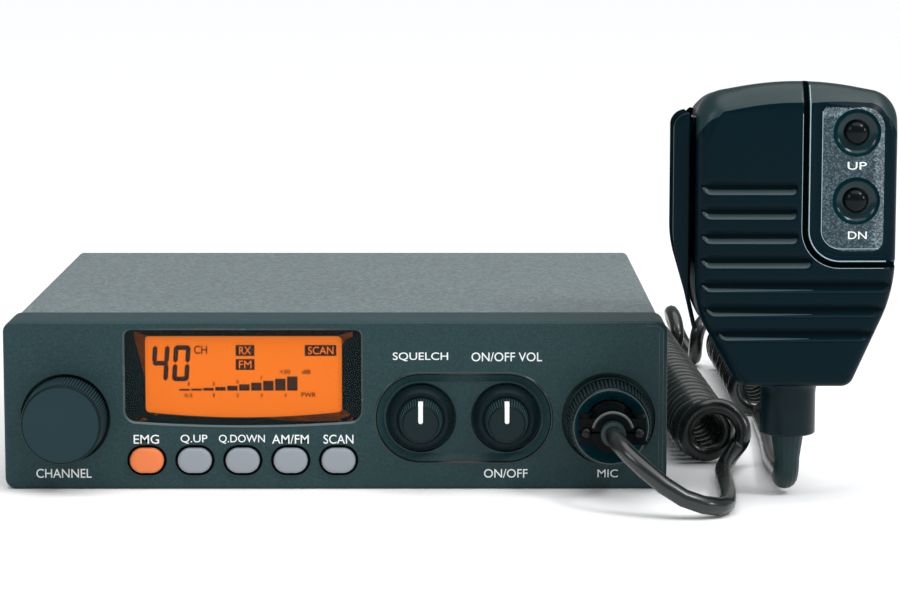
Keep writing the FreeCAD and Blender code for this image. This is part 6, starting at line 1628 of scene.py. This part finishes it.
        # Painted light: the crown band takes the lighter finish.
        made[(edge < self.lit_crown_reach(*nearest(self.border, x, z))) & (z > 96.0)] = "hand_crown"
        # Painted light: the right and top strips of the field take the lighter finish.
        lit = (x > 20.3 + 0.5 * np.sin(5.1 * z)) | (z > 103.4 + 0.4 * np.sin(4.3 * x))
        made[(field > 0.02) & (z < 105.6)] = "hand_finger_field"
        made[(field > 0.02) & (z < 105.6) & lit] = "hand_field_edge"
        # Painted shade: the groove's floor takes the near black finish.
        made[(gap > 0.12) & (gap < self.groove_width - 0.25)] = "hand_groove"
        for spot in THUMB_Z:
            made[np.hypot(x - THUMB_X, z - spot) < 6.27] = "hand_dishes"
        return list(made)

    def rear(self) -> bpy.types.Mesh:
        """The rear shell, drawn out to the front's outline, its top sloped down to the back.

        Returns:
            The shell.
        """
        mesh, spots = packed_copy("hand_rear_shell")
        x, y, z = spots[:, 0] - HAND_X, spots[:, 1], spots[:, 2]
        gap = gap_inside(self.packed, x, z)
        old_x, old_z = nearest(self.packed, x, z)
        new_x, new_z = nearest(self.border, old_x, old_z)
        weight = np.clip(1 - (np.abs(gap) - 0.6) / 2.5, 0, 1) * (z > 33.0)
        x = x + (new_x - old_x) * weight
        z = z + (new_z - old_z) * weight
        z = z - self.sink(y, z)
        mesh.vertices.foreach_set("co", (np.column_stack([HAND_X + x, y, z]) * MM).ravel())
        mesh.update()
        return mesh

    def steps(self) -> bpy.types.Mesh:
        """The lower lips of the louvres, each a smooth band that rolls up at its ends, coloured lighter than the case
        as painted light on their up-facing lips.

        Returns:
            The lips in one mesh.
        """
        made = []
        across = np.array((-1.0, -0.5, 0.0, 0.5, 1.0))
        for i in range(self.louvre_count):
            middle = self.louvre(i) - 1.0
            short = i < len(self.ENDS)
            column = np.linspace(-26.0, 0.0, 200)
            left = float(column[gap_inside(self.border, column, np.full(200, middle)) > 1.3][0])
            right = self.ENDS[i] - 0.1 if short else left + 0.6 * (-2 * left)
            count = math.ceil((right - left) / 0.3)
            rings = []
            for k in range(count + 1):
                x = left + (right - left) * k / count
                end = 1 - min(1.0, min(x - left, right - x) / 1.1)
                half = max(0.03, 0.62 * math.sqrt(max(0.0, 1 - end * end))) * (1.0 if short else 0.75 - 0.6 * k / count)
                roll = math.exp(-((x - left) / 1.2) ** 2)
                z = middle + roll + (0.45 * math.exp(-((right - x) / 0.8) ** 2) if short else 0.0) + across * half
                line = np.full(5, x)
                deep = self.depth(line, z, gap_inside(self.border, line, z))
                low = np.full(5, middle - 1.2)
                plain = self.depth(line, low, gap_inside(self.border, line, low))
                y = HAND_FRONT_Y + deep * (1 - roll) + plain * roll - 0.03 - 0.07 * (1 - across ** 2)
                rings.append([*((HAND_X + x, b, c) for b, c in zip(y, z)), (HAND_X + x, y[4] + 0.9, z[4] - 0.2 * half),
                              (HAND_X + x, y[0] + 0.9, z[0] + 0.2 * half)])
            made.append(rings_mesh(rings))
        return joined(made)

    def lips(self) -> bpy.types.Mesh:
        """Painted highlights: light beads along the edges of the groove and of the finger field, standing in for light
        caught on those edges.

        Returns:
            The beads in one mesh.
        """
        made = []
        for gap, radius, high, far in ((self.groove_width + 0.05, 0.17, 111.2, 23.9), (5.0, 0.11, 104.6, 21.6),
                                       (-0.12, 0.08, 104.0, 23.4)):
            left, foot, r = self.groove_left + gap, self.groove_foot + gap, self.groove_corner - gap
            path = [(left, high - k * 0.5) for k in range(int((high - foot - r) / 0.5) + 1)]
            path += [(left + r - r * math.cos(a), foot + r - r * math.sin(a)) for a in angles(QUARTER_TURN, 20, 1)]
            path += [(left + r + k * 0.5, foot) for k in range(1, int((far - left - r) / 0.5) + 1)]
            x, z = np.array(path).T
            deep = self.depth(x, z, gap_inside(self.border, x, z))
            made.append(bead([(HAND_X + a, HAND_FRONT_Y + d, b) for (a, b), d in zip(path, deep)], radius))
        return joined(made)

    @staticmethod
    def guard(outline: list[Point2]) -> bpy.types.Mesh:
        """A rib on the case's side, dark as painted shade, that closes the view behind the talk lever.

        Args:
            outline: the case's outline.

        Returns:
            The rib.
        """
        low, high, front, back = 47.5, 104.0, -83.4, -82.0
        count = len(outline)
        rings = []
        for i, (x, z) in enumerate(outline):
            if x > 0 or not low < z < high:
                continue
            ax, az = outline[i - 1]
            bx, bz = outline[(i + 1) % count]
            long = math.hypot(bx - ax, bz - az)
            behind = 7.0 - 0.34 * max(0.0, 70.0 - z) + (25.9 + x) - 2.4
            reach = max(0.5, min(4.3, behind)) * min(1.0, (z - low) / 5 + 0.1, (high - z) / 5 + 0.1)
            out = ((bz - az) / long, -(bx - ax) / long)
            rings.append([(HAND_X + x + out[0] * far, y, z + out[1] * far)
                          for far, y in ((-0.3, front), (reach, front), (reach, back), (-0.3, back))])
        return rings_mesh(rings)

    @staticmethod
    def drop_loose(mesh: bpy.types.Mesh) -> None:
        """Take away points that no face uses.

        Args:
            mesh: the mesh to clear.
        """
        work = bmesh.new()
        work.from_mesh(mesh)
        bmesh.ops.delete(work, geom=[v for v in work.verts if not v.link_faces], context="VERTS")
        work.to_mesh(mesh)
        work.free()

    def wall(self, outline: list[Point2]) -> bpy.types.Mesh:
        """The side wall from the front's edge back to the seam.

        Args:
            outline: the case's outline.

        Returns:
            The wall.
        """
        spots = np.array(outline)
        start = self.depth(spots[:, 0], spots[:, 1], np.zeros(len(outline)))
        rings = [[(HAND_X + x, HAND_FRONT_Y + d, z) for (x, z), d in zip(outline, start)]]
        for inset, y in ((0.0, HAND_SEAM_Y - 0.35), (0.3, HAND_SEAM_Y), (2.0, HAND_SEAM_Y), (2.0, HAND_SEAM_Y - 9.0)):
            x, z = np.array(drawn_in(outline, inset)).T
            rings.append(list(zip(HAND_X + x, np.full(len(x), y), z - self.sink(y, z))))
        return rings_mesh(rings, caps=False)

    @staticmethod
    def collar() -> bpy.types.Mesh:
        """The front half of the collar that holds the cord's sleeve.

        Returns:
            The half collar.
        """
        profile = ((4.6, 17.5), (6.7, 17.5), (7.1, 17.7), (7.35, 18.2), (7.35, 28.6), (7.5, 30.0), (8.1, 31.2),
                   (9.2, 31.9), (4.6, 31.9))
        sides = 40
        points, faces = [], []
        for turn in angles(HALF_TURN, sides):
            a = HALF_TURN + turn
            points += [(HAND_X + r * math.cos(a), HAND_SEAM_Y + r * math.sin(a), z) for r, z in profile]
        count = len(profile)
        for i in range(sides):
            for j in range(count):
                k = (j + 1) % count
                faces.append((i * count + j, i * count + k, (i + 1) * count + k, (i + 1) * count + j))
        faces.append(tuple(range(count)))
        faces.append(tuple(range(sides * count, (sides + 1) * count)))
        return mesh_of(points, faces)


@dataclass
class TalkLever:
    """The soft edged front of the bar that is squeezed to talk."""

    left: float = HAND_X - 31.7
    right: float = HAND_X - 27.4
    top: float = 103.4
    waist: float = 70.0
    foot: float = 46.5
    front: float = -100.0

    def build(self) -> None:
        """Lay the cap over the lever's front, and draw the lever itself in to the cap's outline."""
        corners = [(self.left, self.waist, 30.0), (self.right + 1.1, self.foot, 0.7),
                   (self.right + 2.6, self.foot, 0.6), (self.right, self.waist - 17.0, 10.0),
                   (self.right, self.top + 0.6, 0.6), (self.left, self.top - 0.6, 4.2)]
        rise = ((0.0, 0.03), (0.0, -0.5), (0.05, -0.8), (0.16, -1.02), (0.28, -1.12), (0.38, -1.15))
        outline = rounded(corners)
        cap = stacked(outline, [(inset, self.front + y) for inset, y in rise])
        work = bmesh.new()
        work.from_mesh(cap)
        bmesh.ops.triangulate(work, faces=[face for face in work.faces if len(face.verts) > 4])
        work.to_mesh(cap)
        work.free()
        piece("talk_lever_front", cap, HAND, "talk_key", 60.0)
        mesh, spots = packed_copy("talk_lever")
        x, z = spots[:, 0], spots[:, 2]
        edge = np.array(drawn_in(outline, 0.1))
        moved = (gap_inside(edge, x, z) < 0) & ((x < self.right) | (z < self.waist))
        spots[moved, 0], spots[moved, 2] = nearest(edge, x[moved], z[moved])
        mesh.vertices.foreach_set("co", (spots * MM).ravel())
        mesh.update()
        piece("talk_lever_body", mesh, LEVER, "talk_key", 42.0, node="talk_lever")


@dataclass
class ThumbButtons:
    """The two domed buttons of the microphone and their words."""

    radius: float = 3.15
    proud: float = 0.6
    bulge: float = 1.9
    sunk: float = 1.75

    def build(self) -> None:
        """Make the domes, on their own bodies, and the words under them."""
        for name, z in zip(("up", "down"), THUMB_Z):
            front = HAND_FRONT_Y - self.proud
            dome = [(self.radius * math.sin(a), front + self.bulge * (1 - math.cos(a)))
                    for a in angles(QUARTER_TURN, 10)]
            dome += [(self.radius, HAND_FRONT_Y + self.sunk), (0.0, HAND_FRONT_Y + self.sunk)]
            piece(f"{name}_dome", turned(dome, HAND_X + THUMB_X, z, 64), THUMB, f"{name}_key", 60.0,
                  node=f"{name}_button")
        y = HAND_FRONT_Y + 0.22
        Words("label_up", "UP", 134.6, 5.0, 89.4, 2.0, y=y).build()
        Words("label_down", "DN", 135.0, 4.9, 71.2, 2.0, y=y).build()


@dataclass
class CaseScrews:
    """The screw heads that show on the set and on the microphone's back."""

    head_radius: float = 2.5
    height: float = 1.5
    rim: float = 0.45
    edge: float = 0.9
    recess: float = 0.8
    arm: float = 1.35
    half: float = 0.3

    def head(self) -> bpy.types.Object:
        """A pan head with a cross recess, standing on Z.

        Returns:
            The head, as a helper object.
        """
        flat, bulge = self.head_radius - self.edge, self.height - self.rim
        profile = [(0.0, 0.0), (self.head_radius, 0.0), (self.head_radius, self.rim)]
        profile += [(flat + self.edge * math.cos(a), self.rim + bulge * math.sin(a))
                    for a in angles(QUARTER_TURN, 6, 1)]
        sides = 24
        points = [(r * math.cos(a), r * math.sin(a), z) for r, z in profile[1:] for a in angles(FULL_TURN, sides)[:-1]]
        faces = [(j * sides + i, j * sides + (i + 1) % sides, (j + 1) * sides + (i + 1) % sides, (j + 1) * sides + i)
                 for j in range(len(profile) - 2) for i in range(sides)]
        faces.append(tuple(range(sides)))
        ring = (len(profile) - 2) * sides
        cross = self.cross_points()
        start = len(points)
        points += [(x, y, self.height) for x, y in cross]
        points += [(x * 0.55, y * 0.55, self.height - self.recess) for x, y in cross]
        n = len(cross)
        for i in range(sides):
            a = start + i * n // sides
            b = start + (i + 1) * n // sides % n
            faces.append((ring + i, ring + (i + 1) % sides, b, a) if a != b else (ring + i, ring + (i + 1) % sides, a))
        faces += [(start + i, start + (i + 1) % n, start + n + (i + 1) % n, start + n + i) for i in range(n)]
        faces.append(tuple(range(start + n, start + 2 * n)))
        return in_scene("screw_head", mesh_of(points, faces))

    def cross_points(self) -> list[Point2]:
        """The recess's outline, twenty-four points round.

        Returns:
            The points.
        """
        arm, half = self.arm, self.half
        quarter = [(arm, -half), (arm, 0.0), (arm, half), (half * 2, half), (half, half), (half, half * 2)]
        made = []
        for k in range(4):
            c, s = math.cos(QUARTER_TURN * k), math.sin(QUARTER_TURN * k)
            made += [(x * c - y * s, x * s + y * c) for x, y in quarter]
        return made

    def places(self) -> list[tuple[Point3, Point3]]:
        """Seat and direction of each head that shows.

        Returns:
            The places.
        """
        made: list[tuple[Point3, Point3]] = []
        for y in (-52.0, 62.0):
            for z in (12.0, 34.0):
                made += [((-88.8, y, z), (-1, 0, 0)), ((88.8, y, z), (1, 0, 0))]
        for x in (-81.8, 81.8):
            made += [((x, REAR_Y, z), (0, 1, 0)) for z in (12.0, 36.0)]
        made += [((-66.0 + 9.0 * sx, REAR_Y + 1.8, 24.0 + 9.0 * sz), (0, 1, 0)) for sx in (-1, 1) for sz in (-1, 1)]
        return made

    def build(self) -> None:
        """Stand a head on every seat and let them stand for the CAD screws."""
        places = self.places()
        start = bpy.data.meshes.new("seats")
        start.from_pydata([[c * MM for c in spot] for spot, _ in places], [], [])
        facing = start.attributes.new("facing", "FLOAT_VECTOR", "POINT")
        facing.data.foreach_set("vector", [float(c) for _, way in places for c in way])
        head = self.head()
        values = {"Part": head, "Size": 1.0, "Turn": 1.5, "Seed": 7, "Material": BLACK_STEEL.material()}
        heads = grown(stand_on_points(), start, values)
        bpy.data.objects.remove(head)
        piece("case_screw_heads", heads, BLACK_STEEL, angle=30.0, node="case_screws")


def dress_nodes() -> None:
    """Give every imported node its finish."""
    for name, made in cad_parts.items():
        finish = NODE_FINISHES[name]
        made.data.materials.clear()
        made.data.materials.append(finish.material())
        LOG.info("dressed %s with %s", name, finish.name)


def main() -> None:
    """Build the pieces in order."""
    logging.basicConfig(level=logging.INFO, format="%(message)s")
    dress_nodes()
    Studio().build()
    parts: list[tuple[str, Callable[[], None]]] = [
        ("cord", MicrophoneCord().build), ("panel", FrontPanel().build), ("display", Display().build),
        ("keys", PushKeys().build), ("plug ring", PlugRing().build), ("hand case", HandCase().build),
        ("talk lever", TalkLever().build), ("thumb buttons", ThumbButtons().build), ("screws", CaseScrews().build)]
    parts += [(dial.name, dial.build) for dial in dials()]
    for name, build in parts:
        build()
        LOG.info("built %s", name)


if __name__ == "__main__":
    main()
